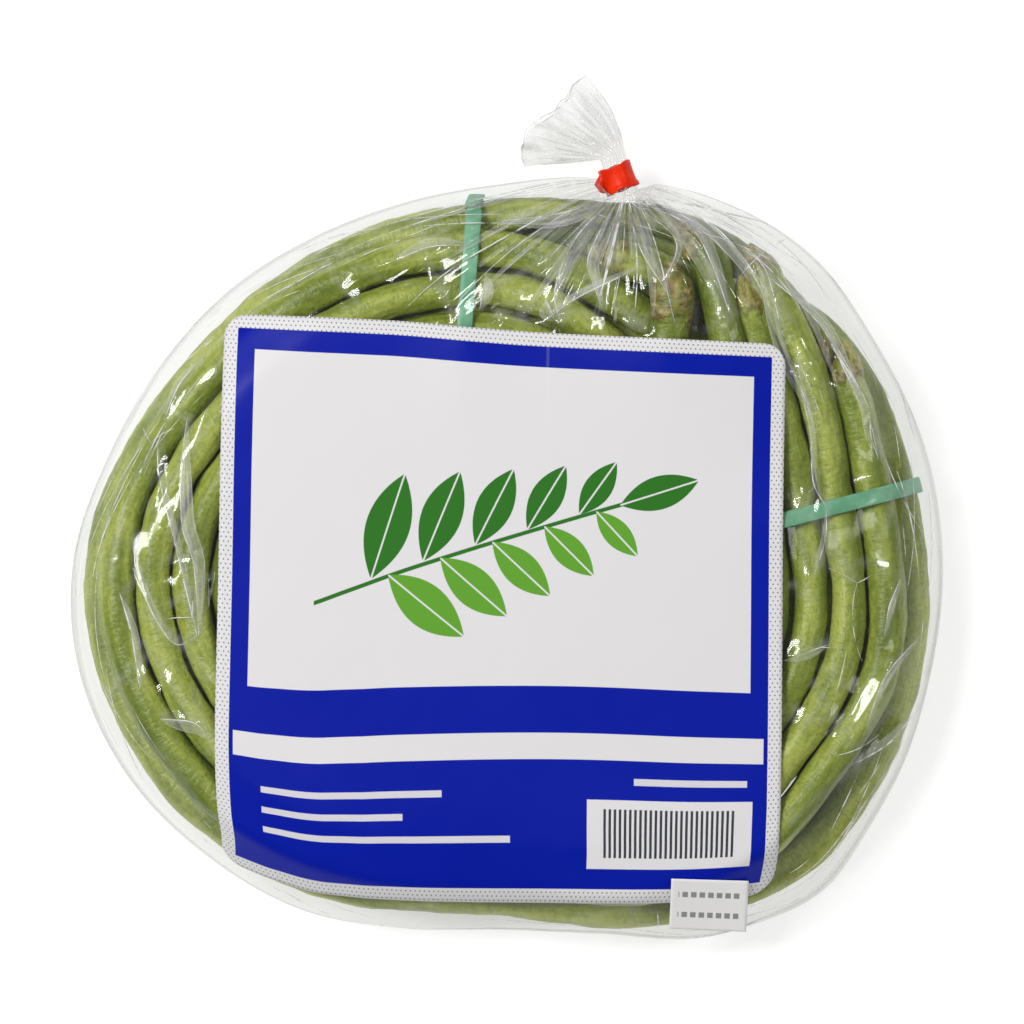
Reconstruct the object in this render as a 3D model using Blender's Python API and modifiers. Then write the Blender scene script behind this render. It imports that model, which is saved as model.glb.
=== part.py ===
"""A coil of yardlong beans in a clear bag, lying flat on its back with its label up.

Metres, +Z up. The pack lies on z = 0, the bag's neck points towards +Y, and the origin is under the
middle of the pack's box. Places round the coil are given as clock angles in degrees, clockwise from
+Y seen from above, so 0 is the top of the pack, 90 its right side and 270 its left side.
"""

import math

import bmesh
import bpy
import numpy as np

MM = 0.001

# Coil and bag, seen from above
COIL_CENTRE = MM * np.array([-1.8, -16.0])
# Distance from the coil's centre to its outermost strand, and to the bag's edge, at each clock hour
STRAND_REACH = MM * np.array([94.6, 102.3, 111.4, 113.9, 116.6, 107.8, 93.5, 102.3, 107.8, 111.1, 99.6, 95.7])
BAG_REACH = MM * np.array([104.5, 115.5, 118.8, 121.6, 125.1, 117.7, 100.4, 109.5, 117.7, 118.0, 106.7, 102.6])
CORNER_CLOCK = 136.0  # the bag's bottom corner pokes out here
CORNER_SPREAD = 8.0
CORNER_REACH = 4.0 * MM
NECK_CLOCK = 18.2
NECK_SPREAD = 6.0
NECK_DIP = 4.5 * MM  # the bag's edge draws in by this much beside the neck
# Line of the neck and the gathered tail, seen from above: place, direction, half width, half thickness, in mm
NECK_LINE = (
    ((32.6, 87.6), (0.20, 0.98), 5.4, 6.6),
    ((32.1, 90.0), (-0.10, 1.00), 4.1, 4.1),
    ((31.0, 96.2), (-0.30, 0.95), 4.1, 4.1),
    ((29.8, 98.6), (-0.50, 0.87), 5.4, 4.4),
    ((25.6, 102.2), (-0.66, 0.75), 8.6, 5.0),
    ((20.4, 105.8), (-0.70, 0.71), 11.6, 5.2),
    ((15.4, 109.4), (-0.70, 0.71), 13.6, 4.8),
)
TAIL_FROM = 8.0  # the neck line is ruffled where its half width is over this
TAIL_PLEATS = 9
TAIL_RUFFLE = 0.14  # share of the tail's width
# Distances in mm of the film mesh's lines from the bag's side edge, and of its rings from the two ends
SHEET_STEPS = (0.0, 0.8, 3.0, 7.0, 13.0, 21.0, 36.0, 56.0, 80.0)
RING_STEPS = (5.0, 8.0, 12.0, 17.0, 23.0, 30.0, 38.0, 46.5, 55.0, 63.5, 72.0, 81.0, 90.0, 98.5)
END_STEPS = (1.0, 2.5)

# Tape round the neck, with its two ends pressed together into a flap
TAPE_SPAN = 5.6 * MM
TAPE_GAP = 0.6 * MM
TAPE_THICKNESS = 0.8 * MM
TAPE_FLAP = 4.0 * MM
TAPE_SIDES = 24

# Label and sticker: corners in mm seen from above, anticlockwise from the lower left
LABEL_CORNERS = ((-79.4, -98.4), (73.0, -109.3), (77.1, 44.2), (-74.4, 51.7))
LABEL_THICKNESS = 0.35 * MM
LABEL_GAP = 1.1 * MM
LABEL_CELLS = 15
STICKER_CORNERS = ((44.9, -118.0), (66.4, -119.0), (66.9, -104.6), (45.4, -103.8))
STICKER_THICKNESS = 0.3 * MM
STICKER_GAP = 1.95 * MM
STICKER_CELLS = 6
SHEET_HELD = 2.0 * MM  # past this distance from the bag's edge a sheet droops at a slope of its own
SHEET_DROOP = 1.6

# Bag body, seen from the side
EQUATOR = 17.0 * MM  # height of the bag's widest line
TOP_HEIGHT = 37.0 * MM
PILE_CLOCK = 38.0  # the stem ends pile up here and lift the film
PILE_RADIUS = 92.0 * MM
PILE_SPREAD = 38.0 * MM
PILE_HEIGHT = 6.0 * MM
NOSE_DEPTH = 22.0 * MM  # the film rounds over from its flat top to its edge within this distance
NOSE_POWER = 2.2
FILM = 0.5 * MM

# Room that beans keep
BEAN_GAP = 0.35 * MM
FILM_ROOM = 1.9 * MM  # from a bean to the bag's outer face
BAND_ROOM = 1.9 * MM  # more of it where a rubber band goes between

# Bean meshes
RING_STEP = 16.0 * MM
STEM_PROFILE = ((0.0, 0.30), (5.0, 0.42), (11.0, 0.80), (20.0, 0.98))  # distance in mm, share of full radius
POD_BEVEL = 2  # this bevel resolution gives a pod 8 sides
TIP_PROFILE = ((34.0, 0.97), (18.0, 0.78), (7.0, 0.46), (0.0, 0.12))


class Bean:
    """One pod: where it starts, how long and thick it is, and the course it takes round the coil.

    course is a list of (clock, inset, level): at that clock angle the pod lies inset mm inwards from
    the outermost strand, with its middle level mm above the table.
    """

    def __init__(self, name, length, girth, course):
        self.name = name
        self.length = length * MM
        self.radius = girth * MM / 2
        self.course = course


BEANS = [
    Bean("bean_01", 640, 10.4, [
        (55, -6, 28), (60, -1.5, 27), (66, 1.4, 27), (75, 5.5, 26), (90, 6.8, 26), (111, 11, 26),
        (127, 8.5, 26), (135, 6.5, 26), (180, 5, 26), (225, 8, 26), (237, 9, 26), (247, 5.7, 26),
        (262, 5, 26), (276, 5, 26), (288, 5.5, 26), (299, 2.5, 25), (313, 2.5, 25), (334, 4.4, 25),
        (348, 7.4, 25), (370, 13, 24), (385, 21.5, 20), (405, 31, 15)]),
    Bean("bean_02", 590, 9.8, [
        (37, -8, 29), (47, -3.4, 29), (52, 3, 29), (59, 10, 28), (67, 13.7, 27), (75, 16.5, 26),
        (90, 19, 26), (113, 20, 26), (123, 21.7, 26), (180, 17, 26), (244, 16.5, 25), (262, 15, 24),
        (275, 14.5, 23), (290, 10.5, 20), (320, 11, 20), (331, 12.5, 22), (356, 16.5, 23),
        (371, 22, 20), (382, 28, 16), (400, 34, 12), (440, 36, 10)]),
    Bean("bean_03", 560, 9.8, [
        (41, -3, 31), (48, 5.8, 30), (54, 12.4, 29), (61, 18.4, 28), (75, 26, 26), (90, 28.6, 26),
        (113, 31, 26), (180, 27, 26), (240, 26, 26), (261, 23, 26), (270, 22, 26), (280, 20, 26),
        (289, 18, 25), (320, 20, 24), (356, 25, 22), (370, 32, 18), (390, 40, 12), (470, 44, 10)]),
    Bean("bean_04", 520, 12.2, [
        (28, 3, 33), (34, 15, 32), (39, 24.5, 31), (48, 36, 29), (60, 44, 27), (90, 48, 26),
        (180, 46, 26), (270, 41, 26), (330, 36, 25), (360, 38, 22), (390, 48, 16), (450, 54, 12),
        (540, 54, 10), (600, 52, 10)]),
    Bean("bean_05", 560, 9.8, [
        (27, -5, 30), (38, 9, 31), (46, 19, 30), (60, 30, 28), (90, 38, 26), (180, 36, 26),
        (270, 31, 26), (320, 28, 24), (356, 33, 20), (380, 44, 12), (450, 48, 8), (520, 48, 8)]),
    Bean("bean_06", 675, 10.6, [
        (11, 7, 26), (20, 11, 24), (28, 13, 21), (40, 10, 18), (60, 4, 17), (78, 0, 17), (90, 0, 16),
        (120, 0, 16), (180, 0, 16), (235, 0, 15), (262, 0, 14), (300, 0, 16), (330, 0, 19),
        (350, 0, 21), (370, 1, 22)]),
    Bean("bean_07", 600, 10.6, [
        (52, -5, 22), (60, 3, 20), (75, 11, 17), (90, 12.5, 17), (180, 11, 17), (240, 9, 17),
        (270, 8, 17), (320, 10, 15), (370, 12, 14), (400, 10, 10), (430, 8, 9)]),
    Bean("bean_08", 600, 11.0, [
        (118, 26, 17), (180, 23, 17), (270, 24, 17), (360, 22, 13), (400, 20, 14), (430, 22, 17),
        (450, 19, 19), (464, 14, 20), (480, 12, 20)]),
    Bean("bean_09", 560, 11.0, [
        (150, 35, 17), (270, 34, 17), (360, 30, 11), (400, 30, 14), (450, 34, 17), (560, 44, 17),
        (640, 46, 17)]),
    Bean("bean_10", 500, 10.4, [
        (290, 46, 16), (330, 45, 14), (380, 43, 9), (450, 45, 16), (540, 44, 17), (650, 47, 17)]),
    Bean("bean_11", 610, 10.8, [
        (95, 6, 7), (180, 6, 7), (270, 5, 7), (360, 5, 7), (410, 4, 7), (435, -1, 8), (450, -4, 9)]),
    Bean("bean_12", 600, 10.8, [
        (70, 18, 7), (180, 17, 7), (270, 15, 7), (360, 14, 7), (405, 14, 7), (435, 6, 8), (455, -4, 9)]),
    Bean("bean_13", 600, 10.8, [
        (200, 27, 7), (270, 26, 7), (360, 24, 7), (450, 28, 7), (540, 34, 7), (620, 37, 7), (680, 40, 7)]),
    Bean("bean_14", 540, 10.6, [
        (250, 38, 7), (360, 36, 7), (450, 38, 7), (540, 44, 7), (620, 48, 7), (700, 48, 7)]),
]

# Rubber bands: two points of the line that each crosses the coil on, seen from above
BANDS = {
    "band_top": (MM * np.array([-8.9, 83.6]), MM * np.array([-11.7, 49.2])),
    "band_right": (MM * np.array([75.8, -5.0]), MM * np.array([112.1, 4.4])),
}
BAND_WIDTH = 4.6 * MM
BAND_THICKNESS = 1.0 * MM
BAND_REACH = 62.0 * MM  # strands this near the line's middle are inside the loop
BAND_SIDES = 44
BAND_CLEARANCE = 1.5 * MM  # how far past a band's edges a strand still counts
BAND_SLACK = 0.9 * MM
BAND_SPREAD = 13.0 * MM  # how far along the strands a band's extra room reaches


def clock_direction(clock):
    """Unit vectors in the plan for clock angles in degrees."""
    turn = np.radians(clock)
    return np.stack([np.sin(turn), np.cos(turn)], -1)


def clock_of(plan):
    """Clock angles, in degrees, of plan points measured from the coil's centre."""
    return np.degrees(np.arctan2(plan[..., 0], plan[..., 1])) % 360


def round_the_clock(hours, clock):
    """A smooth closed curve through one value for each clock hour."""
    place = np.asarray(clock, float) / 30.0
    hour = np.floor(place).astype(int)
    t = place - hour
    a, b, c, d = (hours[(hour + k) % 12] for k in (-1, 0, 1, 2))
    return b + t * (c - a) / 2 + t**2 * (a - 2.5 * b + 2 * c - d / 2) + t**3 * (1.5 * (b - c) + (d - a) / 2)


def bag_reach(clock):
    """Distance from the coil's centre to the bag's edge."""
    corner = (np.asarray(clock, float) - CORNER_CLOCK + 180) % 360 - 180
    neck = (np.asarray(clock, float) - NECK_CLOCK + 180) % 360 - 180
    bump = CORNER_REACH * np.exp(-((corner / CORNER_SPREAD) ** 2))
    dip = NECK_DIP * np.exp(-((neck / NECK_SPREAD) ** 2))
    return round_the_clock(BAG_REACH, clock) + bump - dip


def top_height(plan):
    """Height of the film's flat top over plan points measured from the coil's centre."""
    pile = clock_direction(PILE_CLOCK) * PILE_RADIUS
    away = np.linalg.norm(plan - pile, axis=-1)
    return TOP_HEIGHT + PILE_HEIGHT * np.exp(-((away / PILE_SPREAD) ** 2))


def film_height(plan, offset=0.0, upper=True):
    """Height of the bag's upper or lower film, moved outwards by offset."""
    clock = clock_of(plan)
    inwards = bag_reach(clock) + offset - np.linalg.norm(plan, axis=-1)
    depth = NOSE_DEPTH + offset
    share = np.clip(1 - inwards / depth, 0, 1)
    rise = (1 - share**NOSE_POWER) ** (1 / NOSE_POWER)
    if upper:
        return EQUATOR + (top_height(plan) + offset - EQUATOR) * rise
    return EQUATOR - (EQUATOR + offset) * rise


def bean_stations(bean):
    """Distances along a pod at which its mesh has a ring, and the share of full radius there."""
    stem = np.array(STEM_PROFILE)
    tip = np.array(TIP_PROFILE)
    first, last = stem[-1, 0] * MM, bean.length - tip[0, 0] * MM
    count = max(2, round((last - first) / RING_STEP))
    middle = np.linspace(first, last, count + 1)[1:-1]
    along = np.concatenate([stem[:, 0] * MM, middle, bean.length - tip[:, 0] * MM])
    share = np.concatenate([stem[:, 1], np.ones(len(middle)), tip[:, 1]])
    return along, share


def bean_course(bean):
    """The line that a pod would follow with nothing in its way, and the length gone at each point."""
    knots = np.array(bean.course, float)
    clock = np.arange(knots[0, 0], knots[-1, 0] + 140, 1.0)
    inset = np.interp(clock, knots[:, 0], knots[:, 1] * MM)
    level = np.interp(clock, knots[:, 0], knots[:, 2] * MM)
    blur = np.hanning(13)
    blur = blur / blur.sum()
    for values in (inset, level):
        values[:] = np.convolve(np.pad(values, 6, mode="edge"), blur, "valid")
    radius = round_the_clock(STRAND_REACH, clock) - inset
    points = np.column_stack([clock_direction(clock) * radius[:, None], level])
    gone = np.concatenate([[0], np.cumsum(np.linalg.norm(np.diff(points, axis=0), axis=1))])
    return points, gone


def points_along(points, gone, along):
    """Points of a line at the given distances along it."""
    return np.column_stack([np.interp(along, gone, points[:, axis]) for axis in range(3)])


def band_frame(ends):
    """A band's middle, the direction it crosses the coil in and the direction along the strands."""
    first, second = (np.asarray(end) - COIL_CENTRE for end in ends)
    across = (second - first) / np.linalg.norm(second - first)
    return (first + second) / 2, across, np.array([across[1], -across[0]])


def room_needed(points):
    """How far beans keep from the bag's outer face, with more where a band goes between."""
    room = np.full(len(points), FILM_ROOM)
    for ends in BANDS.values():
        middle, _, along = band_frame(ends)
        away = points[:, :2] - middle
        near = np.exp(-((away @ along / BAND_SPREAD) ** 2))
        room += BAND_ROOM * near * (np.linalg.norm(away, axis=1) < BAND_REACH)
    return room


def keep_in_bag(points, radii):
    """Moves points so that balls of these radii stay inside the bag with room to spare."""
    reach = radii + room_needed(points)
    plan = points[:, :2]
    distance = np.linalg.norm(plan, axis=1)
    flat = bag_reach(clock_of(plan)) - NOSE_DEPTH
    out = np.maximum(distance - flat, 0)
    rise = points[:, 2] - EQUATOR
    half = np.where(rise > 0, top_height(plan) - EQUATOR, EQUATOR) - reach
    deep = NOSE_DEPTH - reach
    size = ((out / deep) ** NOSE_POWER + (np.abs(rise) / half) ** NOSE_POWER) ** (1 / NOSE_POWER)
    shrink = 1 / np.maximum(size, 1)
    nearer = np.where(distance > flat, (flat + out * shrink) / np.maximum(distance, 1e-9), 1)
    return np.column_stack([plan * nearer[:, None], EQUATOR + rise * shrink])


class Coil:
    """All the pods as chains of points, pushed apart until none touches another."""

    SAMPLES = np.array([0.0, 0.25, 0.5, 0.75])  # places along each segment that are kept clear
    PULLED_ROUNDS = 400  # rounds in which the pull towards the courses fades out
    LOOSE_ROUNDS = 120
    LAST_ROUNDS = 400
    PULL = 0.06
    STIFFNESS = 0.2
    LOOSE_STIFFNESS = 0.06
    PUSH = 1.5
    LAST_PUSH = 1.8

    def __init__(self, beans):
        self.points, self.radii, self.owner, self.along, self.courses = [], [], [], [], []
        for index, bean in enumerate(beans):
            along, share = bean_stations(bean)
            points, gone = bean_course(bean)
            self.courses.append((points, gone))
            self.points.append(points_along(points, gone, along))
            self.radii.append(bean.radius * share)
            self.owner.append(np.full(len(along), index))
            self.along.append(along)
        self.points, self.radii, self.owner, self.along = map(
            np.concatenate, (self.points, self.radii, self.owner, self.along)
        )
        self.wanted = self.points.copy()
        self.start = np.flatnonzero(self.owner[:-1] == self.owner[1:])
        self.rest = self.along[self.start + 1] - self.along[self.start]

    def find_wanted(self, slide=90 * MM, held=50 * MM):
        """The place on its own course nearest each point: only the stem end is held lengthwise."""
        for index, (course, gone) in enumerate(self.courses):
            mine = np.flatnonzero((self.owner == index) & (self.along > held))
            distance = np.linalg.norm(self.points[mine][:, None] - course[None], axis=2)
            distance[np.abs(self.along[mine][:, None] - gone[None]) > slide] = 1
            self.wanted[mine] = course[distance.argmin(1)]

    def find_pairs(self, near=26 * MM, same_bean=60 * MM):
        """Samples of one strand that are near a segment of another."""
        start = np.repeat(self.start, len(self.SAMPLES))
        share = np.tile(self.SAMPLES, len(self.start))
        sample = self.points[start] * (1 - share)[:, None] + self.points[start + 1] * share[:, None]
        middle = (self.points[self.start] + self.points[self.start + 1]) / 2
        gap = np.linalg.norm(sample[:, None] - middle[None], axis=2)
        apart = np.abs(self.along[start][:, None] - self.along[self.start][None])
        other = (self.owner[start][:, None] != self.owner[self.start][None]) | (apart > same_bean)
        first, second = np.nonzero((gap < near) & other)
        self.pair = start[first], share[first], self.start[second]

    def push_apart(self, strength=PUSH):
        """One round of moving samples and segments that are too close away from each other."""
        a, share, b = self.pair
        weight_a = np.stack([1 - share, share])
        sample = self.points[a] * weight_a[0][:, None] + self.points[a + 1] * weight_a[1][:, None]
        base, side = self.points[b], self.points[b + 1] - self.points[b]
        t = np.clip(((sample - base) * side).sum(1) / (side**2).sum(1), 0, 1)
        nearest = base + side * t[:, None]
        away = sample - nearest
        distance = np.linalg.norm(away, axis=1)
        need = (
            self.radii[a] * weight_a[0]
            + self.radii[a + 1] * weight_a[1]
            + self.radii[b] * (1 - t)
            + self.radii[b + 1] * t
            + BEAN_GAP
        )
        deep = need - distance
        hit = deep > 0
        a, b, t, share, deep = a[hit], b[hit], t[hit], share[hit], deep[hit]
        push = away[hit] / np.maximum(distance[hit], 1e-9)[:, None] * (deep / 2)[:, None]
        move = np.zeros_like(self.points)
        total = np.zeros(len(self.points))
        for index, weight, sign in ((a, 1 - share, 1), (a + 1, share, 1), (b, 1 - t, -1), (b + 1, t, -1)):
            total += np.bincount(index, weight, len(total))
            for axis in range(3):
                move[:, axis] += sign * np.bincount(index, weight * push[:, axis], len(total))
        # An average of the pushes, so that a point between many others isn't thrown out
        self.points += strength * move / np.maximum(total, 1)[:, None]

    def keep_lengths(self, passes=6, share=0.3):
        """Moves the two ends of each segment so that it keeps its length."""
        for turn in range(passes):
            part = self.start[turn % 2 :: 2]
            side = self.points[part + 1] - self.points[part]
            length = np.linalg.norm(side, axis=1)
            pull = side * ((length - self.rest[turn % 2 :: 2]) / length * share)[:, None]
            np.add.at(self.points, part, pull)
            np.add.at(self.points, part + 1, -pull)

    def straighten(self, share):
        """Evens out bends: each inner point moves towards the curve that its neighbours suggest."""
        inner = self.start[1:][self.start[1:] == self.start[:-1] + 1]
        before, here, after = self.points[inner - 1], self.points[inner], self.points[inner + 1]
        line_before = self.natural[inner] - (self.natural[inner - 1] + self.natural[inner + 1]) / 2
        self.points[inner] += share * ((before + after) / 2 + line_before - here)

    def settle(self):
        """Pulls each pod to its course while pushing them apart, then lets go of the courses."""
        self.natural = self.points.copy()
        for turn in range(self.PULLED_ROUNDS + self.LOOSE_ROUNDS):
            if turn % 12 == 0:
                self.find_pairs()
                self.find_wanted()
            left = max(0.0, 1 - turn / self.PULLED_ROUNDS)
            self.points += self.PULL * left * (self.wanted - self.points)
            self.straighten(self.STIFFNESS if left else self.LOOSE_STIFFNESS)
            self.keep_lengths()
            self.push_apart()
            self.points = keep_in_bag(self.points, self.radii)
        for turn in range(self.LAST_ROUNDS):
            if turn % 20 == 0:
                self.find_pairs()
            if turn < self.LAST_ROUNDS / 2:
                self.keep_lengths()
            self.push_apart(self.LAST_PUSH)
            self.points = keep_in_bag(self.points, self.radii)


def unit(vectors):
    """Vectors of length one."""
    return vectors / np.maximum(np.linalg.norm(vectors, axis=-1, keepdims=True), 1e-12)


def make_material(name, colour, roughness, alpha=1.0):
    """A Principled material with one plain colour."""
    material = bpy.data.materials.new(name)
    material.use_nodes = True
    shader = material.node_tree.nodes["Principled BSDF"]
    shader.inputs["Base Color"].default_value = (*colour, 1.0)
    shader.inputs["Roughness"].default_value = roughness
    shader.inputs["Alpha"].default_value = alpha
    return material


def place_in_pack(name, data, material, pack):
    """Adds an object to the pack's collection, under the empty that stands at the coil's centre."""
    data.materials.append(material)
    piece = bpy.data.objects.new(name, data)
    piece.parent = pack
    pack.users_collection[0].objects.link(piece)
    return piece


def thicken(piece, thickness, offset):
    """Gives an open surface its thickness: offset 1 adds it outside, -1 inside."""
    solidify = piece.modifiers.new("thickness", "SOLIDIFY")
    solidify.thickness = thickness
    solidify.offset = offset
    solidify.use_even_offset = False


def surface_mesh(name, points, faces):
    """A mesh from points and faces, smooth and with its faces turned outwards or upwards."""
    mesh = bpy.data.meshes.new(name)
    mesh.from_pydata(points.tolist(), [], faces)
    shape = bmesh.new()
    shape.from_mesh(mesh)
    bmesh.ops.recalc_face_normals(shape, faces=shape.faces)
    shape.to_mesh(mesh)
    shape.free()
    mesh.shade_smooth()
    return mesh


def loft(name, rings, pole=None):
    """An open tube through closed rings of equal counts, closed past its last ring if a pole is given."""
    around = len(rings[0])
    faces = []
    for ring in range(len(rings) - 1):
        for k in range(around):
            a = ring * around + k
            b = ring * around + (k + 1) % around
            faces.append((a, b, b + around, a + around))
    points = np.concatenate(rings)
    if pole is not None:
        last = (len(rings) - 1) * around
        faces += [(last + k, last + (k + 1) % around, len(points)) for k in range(around)]
        points = np.concatenate([points, [pole]])
    return surface_mesh(name, points, faces)


def build_bean(bean, path, radii, material, pack):
    """One pod: a bevelled line that swells from its stalk and narrows to its tip."""
    curve = bpy.data.curves.new(bean.name, "CURVE")
    curve.dimensions = "3D"
    curve.bevel_depth = bean.radius
    curve.bevel_resolution = POD_BEVEL
    curve.use_fill_caps = True
    spline = curve.splines.new("POLY")
    spline.points.add(len(path) - 1)
    for point, place, radius in zip(spline.points, path, radii):
        point.co = (*place, 1.0)
        point.radius = radius / bean.radius
    place_in_pack(bean.name, curve, material, pack)


def hull(points):
    """The convex outline of points in a plane, anticlockwise."""
    points = points[np.lexsort((points[:, 1], points[:, 0]))]

    def half(ordered):
        chain = []
        for p in ordered:
            while len(chain) > 1:
                (ax, ay), (bx, by) = chain[-2], chain[-1]
                if (bx - ax) * (p[1] - ay) - (by - ay) * (p[0] - ax) > 0:
                    break
                chain.pop()
            chain.append((p[0], p[1]))
        return chain[:-1]

    return np.array(half(points) + half(points[::-1]))


def even_loop(outline, count):
    """Points spread evenly round a closed outline."""
    closed = np.concatenate([outline, outline[:1]])
    gone = np.concatenate([[0], np.cumsum(np.linalg.norm(np.diff(closed, axis=0), axis=1))])
    along = np.arange(count) * gone[-1] / count
    return np.stack([np.interp(along, gone, closed[:, axis]) for axis in range(2)], -1)


def strands_in_slab(coil, middle, across, along):
    """Circles, as places across and up and radii, of the strands that a band goes round."""
    share = np.linspace(0, 1, 15)[:, None, None]
    places = coil.points[coil.start] * (1 - share) + coil.points[coil.start + 1] * share
    radii = coil.radii[coil.start] * (1 - share[..., 0]) + coil.radii[coil.start + 1] * share[..., 0]
    places, radii = places.reshape(-1, 3), radii.reshape(-1)
    away = places[:, :2] - middle
    inside = (np.abs(away @ along) < BAND_WIDTH / 2 + BAND_CLEARANCE) & (np.abs(away @ across) < BAND_REACH)
    return np.stack([away[inside] @ across, places[inside, 2]], -1), radii[inside]


def build_band(name, ends, coil, material, pack):
    """A rubber band stretched round the strands near one line across the coil."""
    middle, across, along = band_frame(ends)
    centres, radii = strands_in_slab(coil, middle, across, along)
    turn = np.linspace(0, 2 * math.pi, 48, endpoint=False)
    circle = np.stack([np.cos(turn), np.sin(turn)], -1)
    rims = centres[:, None] + circle[None] * (radii[:, None, None] + BAND_SLACK)
    inner = even_loop(hull(rims.reshape(-1, 2)), BAND_SIDES)
    rings = []
    for side in (-0.5, 0.5):
        plan = middle + inner[:, :1] * across + along * side * BAND_WIDTH
        rings.append(np.column_stack([plan, inner[:, 1]]))
    thicken(place_in_pack(name, loft(name, rings), material, pack), BAND_THICKNESS, 1.0)


def neck_rings(count):
    """Rings of the bag's outer face from the tail's mouth to the foot of the neck."""
    turn = np.arange(count) * 2 * math.pi / count
    ruffle = 1 + TAIL_RUFFLE * np.cos(TAIL_PLEATS * turn)
    rings = []
    for place, way, wide, thick in reversed(NECK_LINE):
        side = unit(np.array([way[1], -way[0]]))
        wave = ruffle if wide > TAIL_FROM else np.ones(count)
        plan = MM * np.array(place) - COIL_CENTRE + (np.cos(turn) * wide * MM * wave)[:, None] * side
        rings.append(np.column_stack([plan, EQUATOR + np.sin(turn) * thick * MM * wave]))
    return rings


def body_rings():
    """Rings of the bag's outer face from the foot of the neck to the far end, each over the top and back below.

    Seen from above they are the circles that run square across a disc's edge round two facing points of it,
    the neck and the far end, and the disc is then drawn out to the bag's outline.
    """
    neck = clock_direction(NECK_CLOCK)
    half = float(bag_reach(NECK_CLOCK) + bag_reach(NECK_CLOCK + 180)) / 2
    steps = 1 - np.array(SHEET_STEPS) * MM / half
    angle = math.pi + 2 * np.arctan(np.concatenate([steps, [0.0], -steps[::-1]]))
    near = MM * np.array(RING_STEPS)
    far = 2 * half - MM * np.array(END_STEPS + RING_STEPS)
    rings = []
    for share in np.sort(np.concatenate([near, [half], far])) / (2 * half):
        grown = share / (1 - share) * np.exp(1j * angle)
        place = (1 + grown) / (1 - grown) * complex(neck[0], neck[1])
        disc = np.stack([place.real, place.imag], -1)
        plan = disc * bag_reach(clock_of(disc))[:, None]
        top = np.column_stack([plan, film_height(plan)])
        bottom = np.column_stack([plan, film_height(plan, upper=False)])
        rings.append(np.concatenate([top, bottom[1:-1][::-1]]))
    return rings


def build_bag(material, pack):
    """The bag: one film from the tail's open mouth, through the neck and round the coil to its far end."""
    body = body_rings()
    far_end = [*(clock_direction(NECK_CLOCK + 180) * bag_reach(NECK_CLOCK + 180)), EQUATOR]
    mesh = loft("bag", neck_rings(len(body[0])) + body, far_end)
    thicken(place_in_pack("bag", mesh, material, pack), FILM, -1.0)


def build_tape(material, pack):
    """The tape: a ring round the neck, with its two ends pressed together into a flap."""
    start, end = (MM * np.array(NECK_LINE[k][0]) - COIL_CENTRE for k in (1, 2))
    axis = unit(end - start)
    side = np.array([axis[1], -axis[0]])
    turn = np.linspace(0, 2 * math.pi, TAPE_SIDES, endpoint=False)
    radius = NECK_LINE[1][2] * MM + TAPE_GAP
    rings = []
    for shift in (-0.5, 0.5):
        plan = (start + end) / 2 + (np.cos(turn) * radius)[:, None] * side + axis * shift * TAPE_SPAN
        rings.append(np.column_stack([plan, EQUATOR + np.sin(turn) * radius]))
    tape = place_in_pack("neck_tape", loft("neck_tape", rings), material, pack)
    thicken(tape, TAPE_THICKNESS, 1.0)

    bpy.ops.mesh.primitive_cube_add(size=1)
    flap = bpy.context.object
    middle = (start + end) / 2 - side * (radius + TAPE_FLAP / 2 + TAPE_THICKNESS / 3)
    flap.name = "tape_flap"
    flap.parent = pack
    flap.location = (*middle, EQUATOR)
    flap.rotation_euler.z = math.atan2(side[1], side[0])
    flap.scale = (TAPE_FLAP, TAPE_SPAN * 0.9, TAPE_THICKNESS)
    flap.hide_render = True
    flap.display_type = "WIRE"
    union = tape.modifiers.new("flap", "BOOLEAN")
    union.operation = "UNION"
    union.object = flap


def resting_height(plan, gap):
    """Height of a sheet that lies on the film, and that juts over the film's edge without folding round it."""
    distance = np.linalg.norm(plan, axis=-1)
    held = np.minimum(distance, bag_reach(clock_of(plan)) - SHEET_HELD)
    nearer = plan * (held / distance)[:, None]
    return film_height(nearer, gap) + gap / 3 - (distance - held) * SHEET_DROOP


def build_sheet(name, corners, gap, thickness, cells, material, pack):
    """A thin sheet between four corners seen from above, resting on the bag."""
    shape = bmesh.new()
    bmesh.ops.create_grid(shape, x_segments=cells, y_segments=cells, size=1.0)
    grid = np.array([vertex.co[:2] for vertex in shape.verts])
    # Lines crowd towards the sheet's edges, where it bends most
    across, up = (0.5 + 0.5 * np.sin(grid * math.pi / 2)).T[:, :, None]
    low_left, low_right, high_right, high_left = MM * np.array(corners) - COIL_CENTRE
    low = low_left + (low_right - low_left) * across
    high = high_left + (high_right - high_left) * across
    plan = low + (high - low) * up
    for vertex, place in zip(shape.verts, np.column_stack([plan, resting_height(plan, gap)])):
        vertex.co = place
    mesh = bpy.data.meshes.new(name)
    shape.to_mesh(mesh)
    shape.free()
    mesh.shade_smooth()
    thicken(place_in_pack(name, mesh, material, pack), thickness, 1.0)


def stand_on_origin(pack):
    """Moves the pack so that the middle of its underside is at the world's origin."""
    bpy.context.view_layer.update()
    graph = bpy.context.evaluated_depsgraph_get()
    corners = []
    for piece in pack.children:
        if not piece.hide_render:
            mesh = piece.evaluated_get(graph).to_mesh()
            corners += [piece.matrix_world @ vertex.co for vertex in mesh.vertices]
    low, high = np.min(corners, axis=0), np.max(corners, axis=0)
    pack.location = (-(low[0] + high[0]) / 2, -(low[1] + high[1]) / 2, -low[2])


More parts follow.
